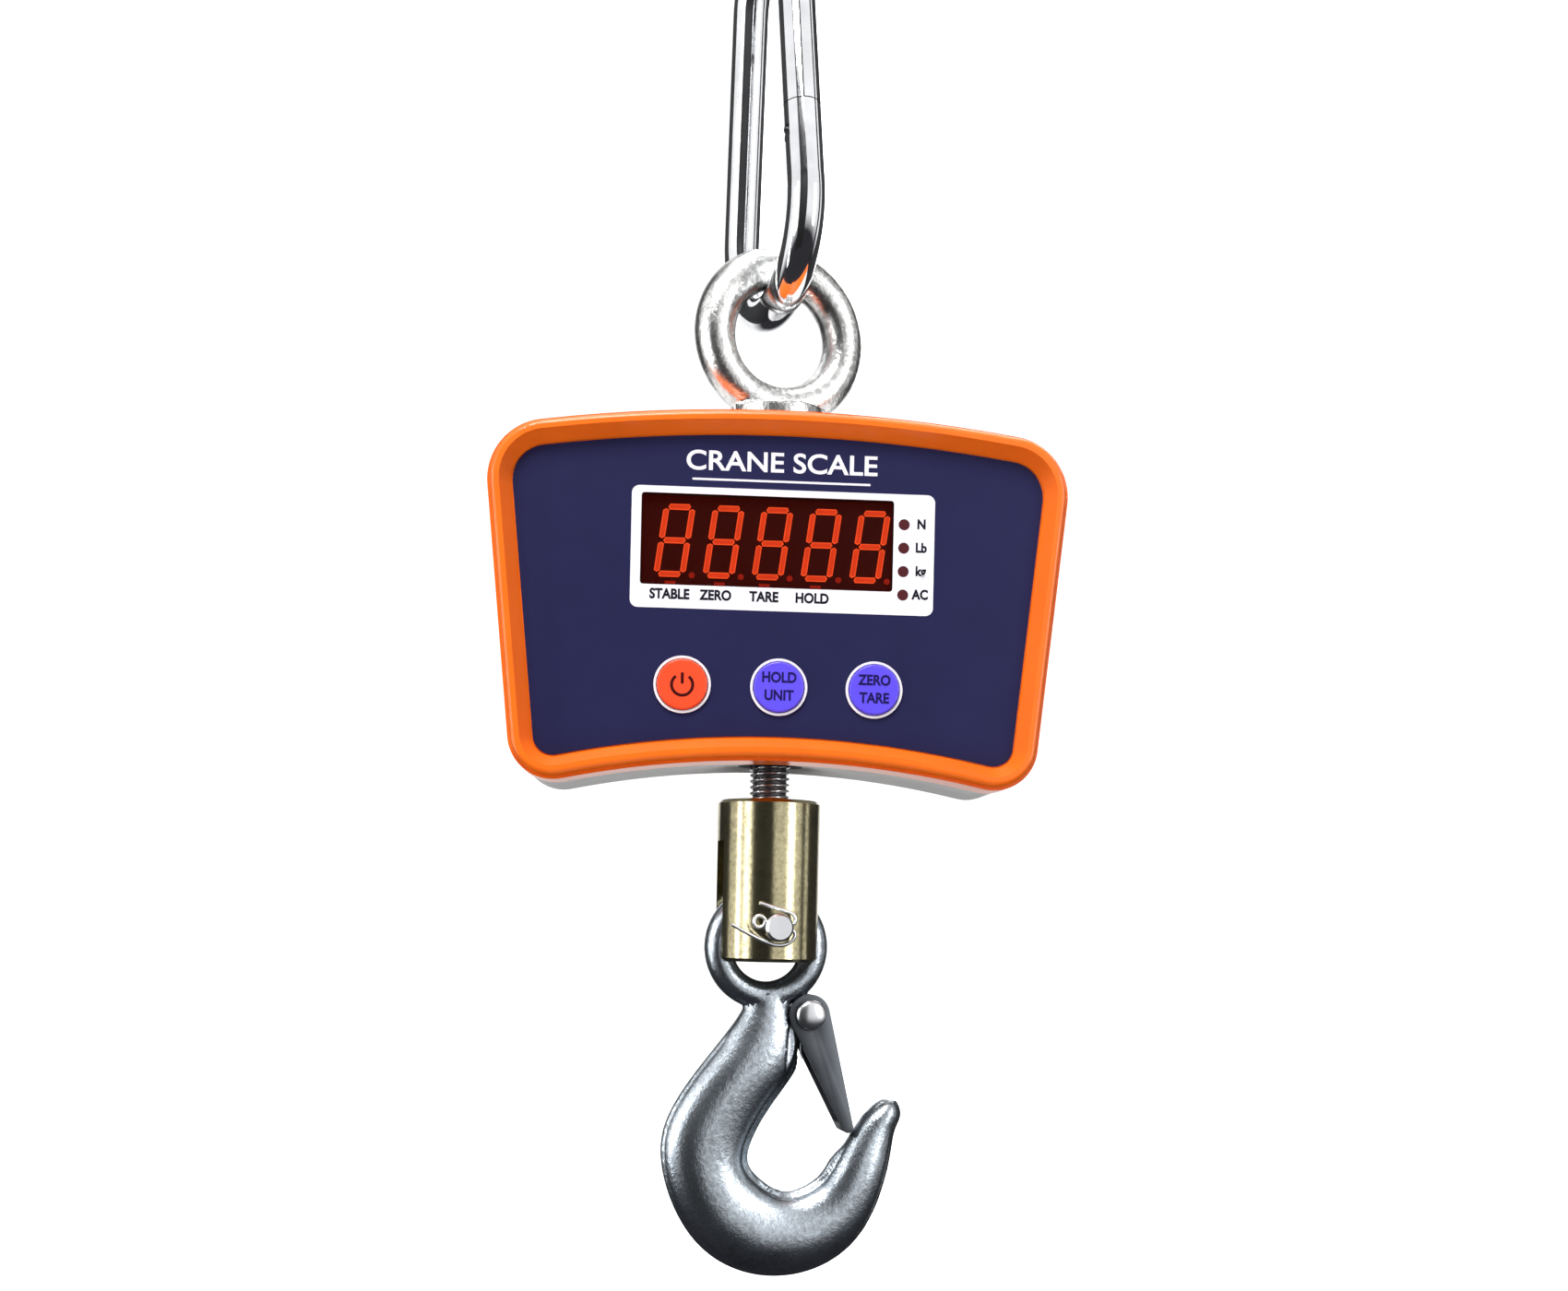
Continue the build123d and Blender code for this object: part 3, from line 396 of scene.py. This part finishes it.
def forgedHook():
    hook = copyOf("hook_forging", "forged_hook")
    flowTogether(hook, hookShape["voxel"], hookShape["soften"])
    pin = Vector(pinJoint["pos_m"])
    bowl = next(mount for mount in frame["record"]["mounts"] if mount["name"] == "hook_bowl")
    bowlCentre = Vector(bowl["pos_m"]) + Vector((0, 0, hookShape["bowlRadius"]))
    latchLow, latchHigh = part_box("safety_latch")
    latchTip = Vector((latchHigh.x, 0, latchLow.z))
    tipSide = [vertex.co for vertex in hook.data.vertices if vertex.co.x > latchTip.x + hookShape["tipSide"]]
    tip = max(tipSide, key=lambda place: place.z).copy()
    normals = [vertex.normal.copy() for vertex in hook.data.vertices]
    for vertex, normal in zip(hook.data.vertices, normals):
        beside = abs((vertex.co - pin).dot(hookOut))
        land = 1 - easedStep(beside, hookShape["landHalf"], hookShape["landEdge"])
        below = easedStep(pin.z - vertex.co.z, hookShape["fadeFrom"], hookShape["fadeOver"])
        flat = normal - hookOut * normal.dot(hookOut)
        towardsBowl = flat.dot((bowlCentre - vertex.co).normalized())
        inner = easedStep(towardsBowl, hookShape["innerFrom"], hookShape["innerOver"])
        fromLatch = Vector((vertex.co.x - latchTip.x, 0, vertex.co.z - latchTip.z)).length
        clear = easedStep(fromLatch, hookShape["latchFrom"], hookShape["latchOver"])
        clear *= easedStep((vertex.co - tip).length, hookShape["tipFrom"], hookShape["tipOver"])
        vertex.co -= flat * hookShape["step"] * (1 - land) * below * (1 - inner)
        vertex.co += flat * hookShape["innerStep"] * land * below * inner * clear
    hook.data.update()
    finishPiece(hook, "hook", finishes["hookZinc"], ["hook_forging"])


forgedHook()

ringShape = {"voxel": 0.0006, "soften": 9}
castRing = copyOf("eye_bolt", "cast_eye_bolt")
flowTogether(castRing, ringShape["voxel"], ringShape["soften"])
finishPiece(castRing, "scale", finishes["ringZinc"], ["eye_bolt"])
print("hook and eye bolt")

# true M12 thread on the stud, with painted shade on the deep faces of its grooves
thread = {"pitch": 0.00175, "depth": 0.0010, "around": 56, "perPitch": 10, "crest": 0.16, "flank": 0.6,
          "runOut": 0.001, "endDepth": 0.7, "dark": 0.00075}


def threadedStud():
    low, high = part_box("lower_stud")
    axis = (low + high) / 2
    radius = (high.x - low.x) / 2
    length = high.z - low.z
    rings = int(length / thread["pitch"] * thread["perPitch"])
    bpy.ops.mesh.primitive_cylinder_add(vertices=thread["around"], radius=radius, depth=length,
                                        end_fill_type="TRIFAN", location=axis)
    stud = named("threaded_stud")
    settle(stud)
    bpy.ops.object.mode_set(mode="EDIT")
    bpy.ops.mesh.select_mode(type="EDGE")
    bpy.ops.mesh.select_all(action="DESELECT")
    bpy.ops.object.mode_set(mode="OBJECT")
    for edge in stud.data.edges:
        ends = [stud.data.vertices[v].co for v in edge.vertices]
        edge.select = abs(ends[0].z - ends[1].z) > length / 2
    bpy.ops.object.mode_set(mode="EDIT")
    bpy.ops.mesh.subdivide_edgering(number_cuts=rings)
    bpy.ops.object.mode_set(mode="OBJECT")
    for vertex in stud.data.vertices:
        outwards = Vector((vertex.co.x - axis.x, vertex.co.y - axis.y, 0))
        if outwards.length < radius / 2:
            continue
        turn = math.atan2(outwards.y, outwards.x) / (2 * math.pi)
        phase = (vertex.co.z / thread["pitch"] - turn) % 1.0
        groove = min(1.0, max(0.0, (abs(phase - 0.5) * 2 - thread["crest"]) / thread["flank"]))
        fade = min(1.0, (vertex.co.z - low.z) / thread["runOut"], (high.z - vertex.co.z) / thread["runOut"])
        cut = max(groove, thread["endDepth"] * (1 - fade))
        vertex.co -= outwards.normalized() * thread["depth"] * cut
    outward(stud)
    smoothed(stud, 40)
    finishPiece(stud, "scale", finishes["steel"], ["lower_stud"])
    # faces deep in the thread grooves take the much darker steel: painted shade in the grooves
    stud.data.materials.append(finishes["threadShadeSteel"])
    for face in stud.data.polygons:
        fromAxis = Vector((face.center.x - axis.x, face.center.y - axis.y, 0)).length
        deep = radius - fromAxis > thread["dark"]
        face.material_index = 1 if deep and abs(face.normal.z) < 0.9 else 0


threadedStud()

# stamped latch with rolled edges, and its domed rivet
latchEdge = {"width": 0.0003, "segments": 2, "sharper": 40}
latch = copyOf("safety_latch", "stamped_latch")
roll = latch.modifiers.new("roll", "BEVEL")
roll.width = latchEdge["width"]
roll.segments = latchEdge["segments"]
roll.limit_method = "ANGLE"
roll.angle_limit = math.radians(latchEdge["sharper"])
applyModifiers(latch)
smoothed(latch, 35)
finishPiece(latch, "latch", finishes["latchZinc"], ["safety_latch"])

rivet = {"shaft": 0.00245, "head": 0.0044, "rise": 0.0015, "from": 0.0047, "sunk": 0.0002}


def domedRivet():
    pivot = Vector(latchJoint["pos_m"])
    shaftLength = 2 * (rivet["from"] + rivet["sunk"])
    bpy.ops.mesh.primitive_cylinder_add(vertices=32, radius=rivet["shaft"], depth=shaftLength)
    parts = [named("rivet_shaft")]
    for side in (1, -1):
        bpy.ops.mesh.primitive_uv_sphere_add(segments=40, ring_count=20, radius=rivet["head"])
        dome = named("rivet_dome")
        bpy.ops.object.mode_set(mode="EDIT")
        bpy.ops.mesh.bisect(plane_co=(0, 0, 0), plane_no=(0, 0, side), use_fill=True, clear_inner=True)
        bpy.ops.mesh.select_all(action="SELECT")
        bpy.ops.transform.resize(value=(1, 1, rivet["rise"] / rivet["head"]))
        bpy.ops.transform.translate(value=(0, 0, side * rivet["from"]))
        bpy.ops.object.mode_set(mode="OBJECT")
        parts.append(dome)
    whole = joinAll(parts, "domed_rivet")
    settle(whole, facing(hookSide, hookOut, pivot))
    outward(whole)
    smoothed(whole, 40)
    finishPiece(whole, "hook", finishes["steel"], ["latch_rivet"])


domedRivet()


# round wire along a smooth line through points
def wire(name, points, thickness, matrix, order=3):
    deselect()
    bpy.ops.curve.primitive_nurbs_path_add()
    obj = named(name)
    curve = obj.data
    curve.splines.clear()
    spline = curve.splines.new("NURBS")
    spline.points.add(len(points) - 1)
    for point, place in zip(spline.points, points):
        point.co = (*place, 1)
    spline.order_u = order
    spline.use_endpoint_u = True
    spline.resolution_u = 6
    curve.bevel_depth = thickness / 2
    curve.bevel_resolution = 3
    curve.use_fill_caps = True
    take(obj)
    bpy.ops.object.convert(target="MESH")
    obj = named(name)
    settle(obj, matrix)
    outward(obj)
    smoothed(obj, 50)
    return obj


# split cotter: a loop beside the pin, one leg bent back over the pin and one under it
cotter = {"wire": 0.00105, "depth": 0.0160, "loop": 0.00165, "loopAt": (-5.5, 1.6), "legShift": 0.00015,
          "upper": [(-4.2, 1.5), (0.0, 0.9), (4.4, 0.6), (5.2, 2.6), (4.0, 4.2), (0.6, 5.2),
                    (-2.3, 6.0), (-5.6, 6.9)],
          "lower": [(-4.2, 0.9), (0.0, -0.1), (4.4, -0.4), (5.1, -2.4), (3.3, -4.6), (0.2, -5.2),
                    (-2.6, -4.6), (-8.8, -1.9), (-13.4, 0.6)]}


def splitCotter():
    pin = Vector(pinJoint["pos_m"])
    place = facing(hookSide, hookOut, pin + hookOut * cotter["depth"])
    parts = []
    for leg, shift in (("upper", 0.0), ("lower", cotter["legShift"])):
        points = [(x * mm, y * mm, shift) for x, y in cotter[leg]]
        parts.append(wire("cotter_leg", points, cotter["wire"], place))
    bpy.ops.mesh.primitive_torus_add(major_radius=cotter["loop"], minor_radius=cotter["wire"] / 2,
                                     major_segments=32, minor_segments=10,
                                     location=(cotter["loopAt"][0] * mm, cotter["loopAt"][1] * mm, 0))
    loop = named("cotter_loop")
    settle(loop, place)
    parts.append(loop)
    whole = joinAll(parts, "split_cotter")
    smoothed(whole, 50)
    finishPiece(whole, "swivel", finishes["cotterWire"], ["cotter_pin"])


splitCotter()

# latch spring: two turns in the lug's pocket, and one leg with a curled end down the throat
spring = {"wire": 0.00055, "radius": 0.0033, "turns": 2, "pointsPerTurn": 12, "from": 0.0020, "start": 190,
          "leg": [(-1.8, -12.8), (-1.5, -12.6), (-1.6, -12.0), (-2.0, -11.6), (-2.0, -9.0),
                  (-2.0, -5.0), (-2.9, -2.4)]}


def latchSpring():
    points = [(x * mm, y * mm, spring["from"]) for x, y in spring["leg"]]
    for step in range(spring["turns"] * spring["pointsPerTurn"] + 1):
        angle = math.radians(spring["start"]) - 2 * math.pi * step / spring["pointsPerTurn"]
        points.append((spring["radius"] * math.cos(angle), spring["radius"] * math.sin(angle),
                       spring["from"] + spring["wire"] * step / spring["pointsPerTurn"]))
    place = facing(hookSide, hookOut, Vector(latchJoint["pos_m"]))
    coil = wire("coiled_latch_spring", points, spring["wire"], place)
    finishPiece(coil, "hook", finishes["steel"], ["latch_spring"])


latchSpring()
print("stud, latch, rivet, cotter and spring")


# prints on the front: each is a thin layer that stands just off its surface
def onFace(x, z, faceY, lift=0.00004):
    matrix = frontFrame.copy()
    matrix.translation = Vector((x * mm, faceY - lift, z * mm))
    return matrix


def printWords(name, words, capHeight, x, z, faceY, bold=0.0, stretch=1.0, lineGap=1.0):
    deselect()
    bpy.ops.object.text_add()
    text = named(name)
    text.data.body = words
    text.data.align_x = "CENTER"
    text.data.align_y = "CENTER"
    text.data.size = capHeight * mm / 0.70
    text.data.offset = bold * mm
    text.data.extrude = 0.00002
    text.data.resolution_u = 5
    text.data.space_line = lineGap
    take(text)
    bpy.ops.object.convert(target="MESH")
    text = named(name)
    text.scale = (stretch, 1, 1)
    take(text)
    bpy.ops.object.transform_apply(location=True, rotation=True, scale=True)
    settle(text, onFace(x, z, faceY))
    outward(text)
    return text


windowMiddle = middleOf("display_window")
middleX, middleZ = windowMiddle.x / mm, windowMiddle.z / mm
label = {"right": 4.43, "down": 2.3, "width": 85.1, "height": 34.0, "corner": 2.2, "thick": 0.1,
         "window": (70.8, 25.6), "windowCorner": 0.9}
lampLow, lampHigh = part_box("unit_lamps")
lampRadius = (lampHigh.x - lampLow.x) / 2
lampX = (lampLow.x + lampHigh.x) / 2
lampStep = (lampHigh.z - lampLow.z - 2 * lampRadius) / 3
lampHeights = [lampHigh.z - lampRadius - lampStep * row for row in range(4)]


def roundedPlate(name, x, z, width, height, corner, faceY, thick):
    bpy.ops.mesh.primitive_plane_add(size=1)
    plate = named(name)
    plate.scale = (width * mm, height * mm, 1)
    take(plate)
    bpy.ops.object.transform_apply(location=True, rotation=True, scale=True)
    bpy.ops.object.mode_set(mode="EDIT")
    bpy.ops.mesh.select_all(action="SELECT")
    bpy.ops.mesh.bevel(offset=corner * mm, segments=8, affect="VERTICES")
    bpy.ops.mesh.select_all(action="SELECT")
    bpy.ops.mesh.extrude_region_move(TRANSFORM_OT_translate={"value": (0, 0, thick * mm)})
    bpy.ops.object.mode_set(mode="OBJECT")
    settle(plate, onFace(x, z, faceY, 0))
    outward(plate)
    return plate


def cutOut(obj, cutters):
    for cutter in cutters:
        hole = obj.modifiers.new("hole", "BOOLEAN")
        hole.operation = "DIFFERENCE"
        hole.solver = "EXACT"
        hole.object = cutter
    applyModifiers(obj)
    take(*cutters)
    bpy.ops.object.delete()


def displayLabel():
    plate = roundedPlate("display_label", middleX + label["right"], middleZ - label["down"], label["width"],
                         label["height"], label["corner"], overlayFace - 0.00001, label["thick"])
    cutters = [roundedPlate("window_cutter", middleX, middleZ, *label["window"], label["windowCorner"],
                            overlayFace + 0.001, 3.0)]
    for height in lampHeights:
        bpy.ops.mesh.primitive_cylinder_add(vertices=32, radius=lampRadius * 1.02, depth=0.004,
                                            location=(lampX, overlayFace, height),
                                            rotation=(math.pi / 2, 0, 0))
        cutters.append(named("lamp_cutter"))
    cutOut(plate, cutters)
    finishPiece(plate, "scale", finishes["printWhite"])


displayLabel()
labelFace = overlayFace - 0.00011
legend = {"down": 15.5, "cap": 2.7, "bold": 0.14, "stretch": 0.88,
          "across": {"STABLE": -27.1, "ZERO": -14.2, "TARE": -0.7, "HOLD": 12.8}}
for word, shift in legend["across"].items():
    piece = printWords("label_" + word.lower(), word, legend["cap"], middleX + shift,
                       middleZ - legend["down"], labelFace, legend["bold"], legend["stretch"])
    finishPiece(piece, "scale", finishes["printDark"])

units = {"words": ("N", "Lb", "kg", "AC"), "cap": 2.6, "right": 4.9, "up": 0.1}
for word, height in zip(units["words"], lampHeights):
    piece = printWords("unit_" + word.lower(), word, units["cap"], lampX / mm + units["right"],
                       height / mm + units["up"], labelFace, legend["bold"], legend["stretch"])
    finishPiece(piece, "scale", finishes["printDark"])

title = {"words": "CRANE SCALE", "right": 3.6, "up": 22.0, "cap": 5.4, "bold": 0.14, "stretch": 1.1,
         "ruleUp": 17.0, "ruleLength": 50.0, "ruleHeight": 0.6, "ruleCorner": 0.25, "ruleThick": 0.04}
titleX = middleX + title["right"]
words = printWords("title_words", title["words"], title["cap"], titleX, middleZ + title["up"], overlayFace,
                   title["bold"], title["stretch"])
finishPiece(words, "scale", finishes["printWhite"])
rule = roundedPlate("title_rule", titleX, middleZ + title["ruleUp"], title["ruleLength"], title["ruleHeight"],
                    title["ruleCorner"], overlayFace - 0.00001, title["ruleThick"])
finishPiece(rule, "scale", finishes["printWhite"])

keyPrint = {"cap": 2.8, "bold": 0.13, "stretch": 0.88, "lineGap": 1.25}
keyNames = {"hold_key": ("hold_button", "HOLD\nUNIT"), "zero_key": ("zero_button", "ZERO\nTARE")}
for node, (body, word) in keyNames.items():
    centre = middleOf(node)
    piece = printWords("print_" + node, word, keyPrint["cap"], centre.x / mm, centre.z / mm, keyFace,
                       keyPrint["bold"], keyPrint["stretch"], keyPrint["lineGap"])
    finishPiece(piece, body, finishes["printNavy"])

power = {"radius": 2.95, "stroke": 0.43, "gap": 38, "steps": 28, "down": 0.2, "flatten": 0.12,
         "stem": (0.3, 1.8, 3.4)}


def powerMark():
    centre = middleOf("power_key")
    place = onFace(centre.x / mm, centre.z / mm - power["down"], keyFace, 0.0)
    start, stop = math.radians(90 + power["gap"]), math.radians(450 - power["gap"])
    arc = []
    for step in range(power["steps"] + 1):
        angle = start + (stop - start) * step / power["steps"]
        arc.append((power["radius"] * math.cos(angle) * mm, power["radius"] * math.sin(angle) * mm, 0))
    stem = [(0, height * mm, 0) for height in power["stem"]]
    flat = Matrix.Diagonal((1, 1, power["flatten"], 1))
    parts = [wire("power_line", points, 2 * power["stroke"] * mm, place @ flat) for points in (arc, stem)]
    mark = joinAll(parts, "power_mark")
    finishPiece(mark, "power_button", finishes["printMaroon"])


powerMark()
print("prints and labels")

# lit digits: each bar has a bright rim and a deeper core
digits = {"right": 1.5, "pitch": 13.75, "count": 5, "height": 20.6, "width": 7.3, "stroke": 1.75,
          "slant": 7.6, "gap": 0.5, "rim": 0.3, "thick": 0.2, "end": 1.1,
          "point": 0.85, "pointRight": 5.0, "pointDown": 0.2}


def litBar(length, upright):
    half = digits["stroke"] / 2 * mm
    bpy.ops.mesh.primitive_circle_add(vertices=6, radius=half * digits["end"], fill_type="NGON")
    bar = named("bar")
    stretchBy = length / 2 * mm - half * digits["end"] - digits["gap"] * mm
    for vertex in bar.data.vertices:
        if abs(vertex.co.x) < 0.0001 * half:
            vertex.co.x = 0.0
    bar.rotation_euler = (0, 0, math.radians(30))
    take(bar)
    bpy.ops.object.transform_apply(rotation=True)
    bpy.ops.object.mode_set(mode="EDIT")
    for side in (1, -1):
        bpy.ops.mesh.select_mode(type="VERT")
        bpy.ops.mesh.select_all(action="DESELECT")
        bpy.ops.object.mode_set(mode="OBJECT")
        for vertex in bar.data.vertices:
            vertex.select = vertex.co.x * side > half * 0.2
        bpy.ops.object.mode_set(mode="EDIT")
        bpy.ops.transform.translate(value=(side * stretchBy, 0, 0))
    bpy.ops.mesh.select_all(action="SELECT")
    bpy.ops.mesh.inset(thickness=digits["rim"] * mm)
    bpy.ops.object.mode_set(mode="OBJECT")
    if upright:
        bar.rotation_euler = (0, 0, math.radians(90))
        take(bar)
        bpy.ops.object.transform_apply(rotation=True)
    return bar


def litDigits():
    halfHeight = (digits["height"] - digits["stroke"]) / 2
    halfWidth = digits["width"] / 2
    places = [(0, level * halfHeight, False) for level in (-1, 0, 1)]
    places += [(side * halfWidth, level * halfHeight / 2, True) for side in (-1, 1) for level in (-1, 1)]
    flatBar, uprightBar = litBar(digits["width"], False), litBar(halfHeight, True)
    lean = math.tan(math.radians(digits["slant"]))
    copies = []
    for number in range(digits["count"]):
        for x, y, upright in places:
            source = uprightBar if upright else flatBar
            copy = bpy.data.objects.new("bar", source.data.copy())
            bpy.context.scene.collection.objects.link(copy)
            for vertex in copy.data.vertices:
                vertex.co.y += y * mm
                vertex.co.x += x * mm + vertex.co.y * lean + (number - 2) * digits["pitch"] * mm
            copies.append(copy)
        bpy.ops.mesh.primitive_circle_add(
            vertices=24, radius=digits["point"] * mm, fill_type="NGON",
            location=((digits["pointRight"] + (number - 2) * digits["pitch"]) * mm,
                      -(halfHeight + digits["pointDown"]) * mm, 0))
        copies.append(named("point"))
        settle(copies[-1])
    take(flatBar, uprightBar)
    bpy.ops.object.delete()
    lit = joinAll(copies, "lit_digits")
    lit.data.materials.clear()
    for finish in ("segmentEdge", "segments", "statusGlow"):
        lit.data.materials.append(finishes[finish])
    for face in lit.data.polygons:
        face.material_index = 0 if len(face.vertices) == 4 else (1 if len(face.vertices) == 6 else 2)
    bpy.ops.object.mode_set(mode="EDIT")
    bpy.ops.mesh.select_all(action="SELECT")
    bpy.ops.mesh.extrude_region_move(TRANSFORM_OT_translate={"value": (0, 0, digits["thick"] * mm)})
    bpy.ops.object.mode_set(mode="OBJECT")
    settle(lit, onFace(middleX + digits["right"], middleZ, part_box("display_module")[0].y, 0.00003))
    outward(lit)
    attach(lit, "scale")
    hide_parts("digit_segments")


litDigits()
print("digits")

# camera
cameraPlace = {"x": -0.022, "y": -0.517, "z": -0.2812, "lens": 40.6, "shift": 0.1738,
               "roll": 1.25, "turn": 3.50}
bpy.ops.object.camera_add(
    location=(cameraPlace["x"], cameraPlace["y"], cameraPlace["z"]),
    rotation=(math.radians(90), math.radians(-cameraPlace["roll"]), math.radians(-cameraPlace["turn"])),
)
camera = bpy.context.object
camera.data.lens = cameraPlace["lens"]
camera.data.sensor_width = 36
camera.data.shift_y = cameraPlace["shift"]
camera.data.clip_start = 0.01
bpy.context.scene.camera = camera

# room: pale floor and backdrop, soft lamps, dark cards that only polished metal sees
room = {"floor": -0.43, "size": 6.0, "back": 2.6, "curve": 0.8, "curveSteps": 12, "glow": 0.95, "near": 0.01}


def paleWall():
    material, tree, shader, where = startMaterial("studio_paper", (0.9, 0.9, 0.9), 0.0, 0.9)
    stops = [(0.3, (0.89, 0.89, 0.89)), (0.7, (0.91, 0.91, 0.91))]
    tree.links.new(rampNode(tree, noiseNode(tree, where, 3.0), stops), shader.inputs["Base Color"])
    shader.inputs["Emission Color"].default_value = (1, 1, 1, 1)
    shader.inputs["Emission Strength"].default_value = room["glow"]
    return material


floorMiddle = (0, room["back"] - room["size"] / 2, room["floor"])
bpy.ops.mesh.primitive_plane_add(size=room["size"], location=floorMiddle)
floor = named("floor")
bpy.ops.object.mode_set(mode="EDIT")
bpy.ops.mesh.select_mode(type="EDGE")
bpy.ops.mesh.select_all(action="DESELECT")
bpy.ops.object.mode_set(mode="OBJECT")
for edge in floor.data.edges:
    ends = [floor.matrix_world @ floor.data.vertices[v].co for v in edge.vertices]
    edge.select = all(end.y > room["back"] - room["near"] for end in ends)
bpy.ops.object.mode_set(mode="EDIT")
bpy.ops.mesh.extrude_region_move(TRANSFORM_OT_translate={"value": (0, 0, room["size"] / 2)})
bpy.ops.mesh.select_all(action="DESELECT")
bpy.ops.object.mode_set(mode="OBJECT")
for edge in floor.data.edges:
    ends = [floor.matrix_world @ floor.data.vertices[v].co for v in edge.vertices]
    atBack = all(end.y > room["back"] - room["near"] for end in ends)
    edge.select = atBack and all(end.z < room["floor"] + room["near"] for end in ends)
bpy.ops.object.mode_set(mode="EDIT")
bpy.ops.mesh.bevel(offset=room["curve"], segments=room["curveSteps"], affect="EDGES")
bpy.ops.object.mode_set(mode="OBJECT")
smoothed(floor, 60)
floor.data.materials.append(paleWall())
floor.visible_diffuse = False
floor.visible_glossy = False
floor.visible_shadow = False


# each lamp: where it hangs, its width, its power and, if it is not square, its height
lamps = {
    "key_lamp": ((-0.25, -0.85, 1.0), 0.6, 25),
    "fill_lamp": ((0.95, -0.8, 0.0), 0.3, 5, 0.8),
    "left_lamp": ((-0.95, -0.8, 0.0), 0.3, 3, 0.8),
    "top_lamp": ((0.1, 0.0, 1.0), 0.8, 8),
    "strip_lamp": ((-0.95, -0.34, -0.2), 0.08, 3, 0.9),
    "back_lamp": ((0.4, 1.1, 0.5), 0.8, 7),
    "low_lamp": ((0.0, -0.5, -0.95), 0.5, 3.6),
}
middle = (cadBounds[0] + cadBounds[1]) / 2


def softLamp(name, place, size, watts, tall=None):
    bpy.ops.object.light_add(type="AREA", location=place)
    lamp = named(name)
    lamp.data.size = size
    if tall:
        lamp.data.shape = "RECTANGLE"
        lamp.data.size_y = tall
    lamp.data.energy = watts
    lamp.rotation_euler = (middle - Vector(place)).to_track_quat("-Z", "Y").to_euler()
    lamp.visible_camera = False
    return lamp


for name, setting in lamps.items():
    lamp = softLamp(name, *setting)
    lamp.visible_glossy = name != "low_lamp"

# each card: its bearing, distance, height above the middle, width and height
cards = {
    "card_centre": (-14, 1.3, 0.6, 1.15, 3.0),
    "card_left": (-122, 1.2, 0.6, 1.1, 3.0),
    "card_right": (122, 1.2, 0.6, 1.1, 3.0),
    "card_right_front": (82, 1.25, 0.6, 0.22, 3.0),
}


def darkCard(name, bearing, distance, height, width, tall):
    # bearing is measured round from the viewer's side towards +X, in degrees
    turn = math.radians(bearing)
    place = middle + Vector((math.sin(turn) * distance, -math.cos(turn) * distance, height))
    bpy.ops.mesh.primitive_plane_add(size=1, location=place)
    card = named(name)
    card.scale = (width, tall, 1)
    card.rotation_euler = (middle + Vector((0, 0, height)) - place).to_track_quat("Z", "Y").to_euler()
    card.visible_camera = False
    card.visible_diffuse = False
    card.visible_shadow = False
    card.data.materials.append(finishes["rubber"])


for name, setting in cards.items():
    darkCard(name, *setting)

# the world is white from the horizon up and dark below, and only polished faces see it
sky = {"strength": 1.15, "stops": [(0.3, (0.03, 0.03, 0.035)), (0.44, (1, 1, 1)), (0.87, (1, 1, 1)),
                                   (0.96, (0.25, 0.25, 0.25))]}
world = bpy.data.worlds.new("studio")
bpy.context.scene.world = world
world.use_nodes = True
worldTree = world.node_tree
background = worldTree.nodes["Background"]
background.inputs["Strength"].default_value = sky["strength"]
direction = worldTree.nodes.new("ShaderNodeTexCoord")
split = worldTree.nodes.new("ShaderNodeSeparateXYZ")
worldTree.links.new(direction.outputs["Generated"], split.inputs["Vector"])
rise = worldTree.nodes.new("ShaderNodeMath")
rise.operation = "MULTIPLY_ADD"
rise.inputs[1].default_value = 0.5
rise.inputs[2].default_value = 0.5
worldTree.links.new(split.outputs["Z"], rise.inputs[0])
worldTree.links.new(rampNode(worldTree, rise.outputs["Value"], sky["stops"]), background.inputs["Color"])
world.cycles_visibility.diffuse = False
bpy.context.scene.view_settings.view_transform = "Standard"
print("camera and room")
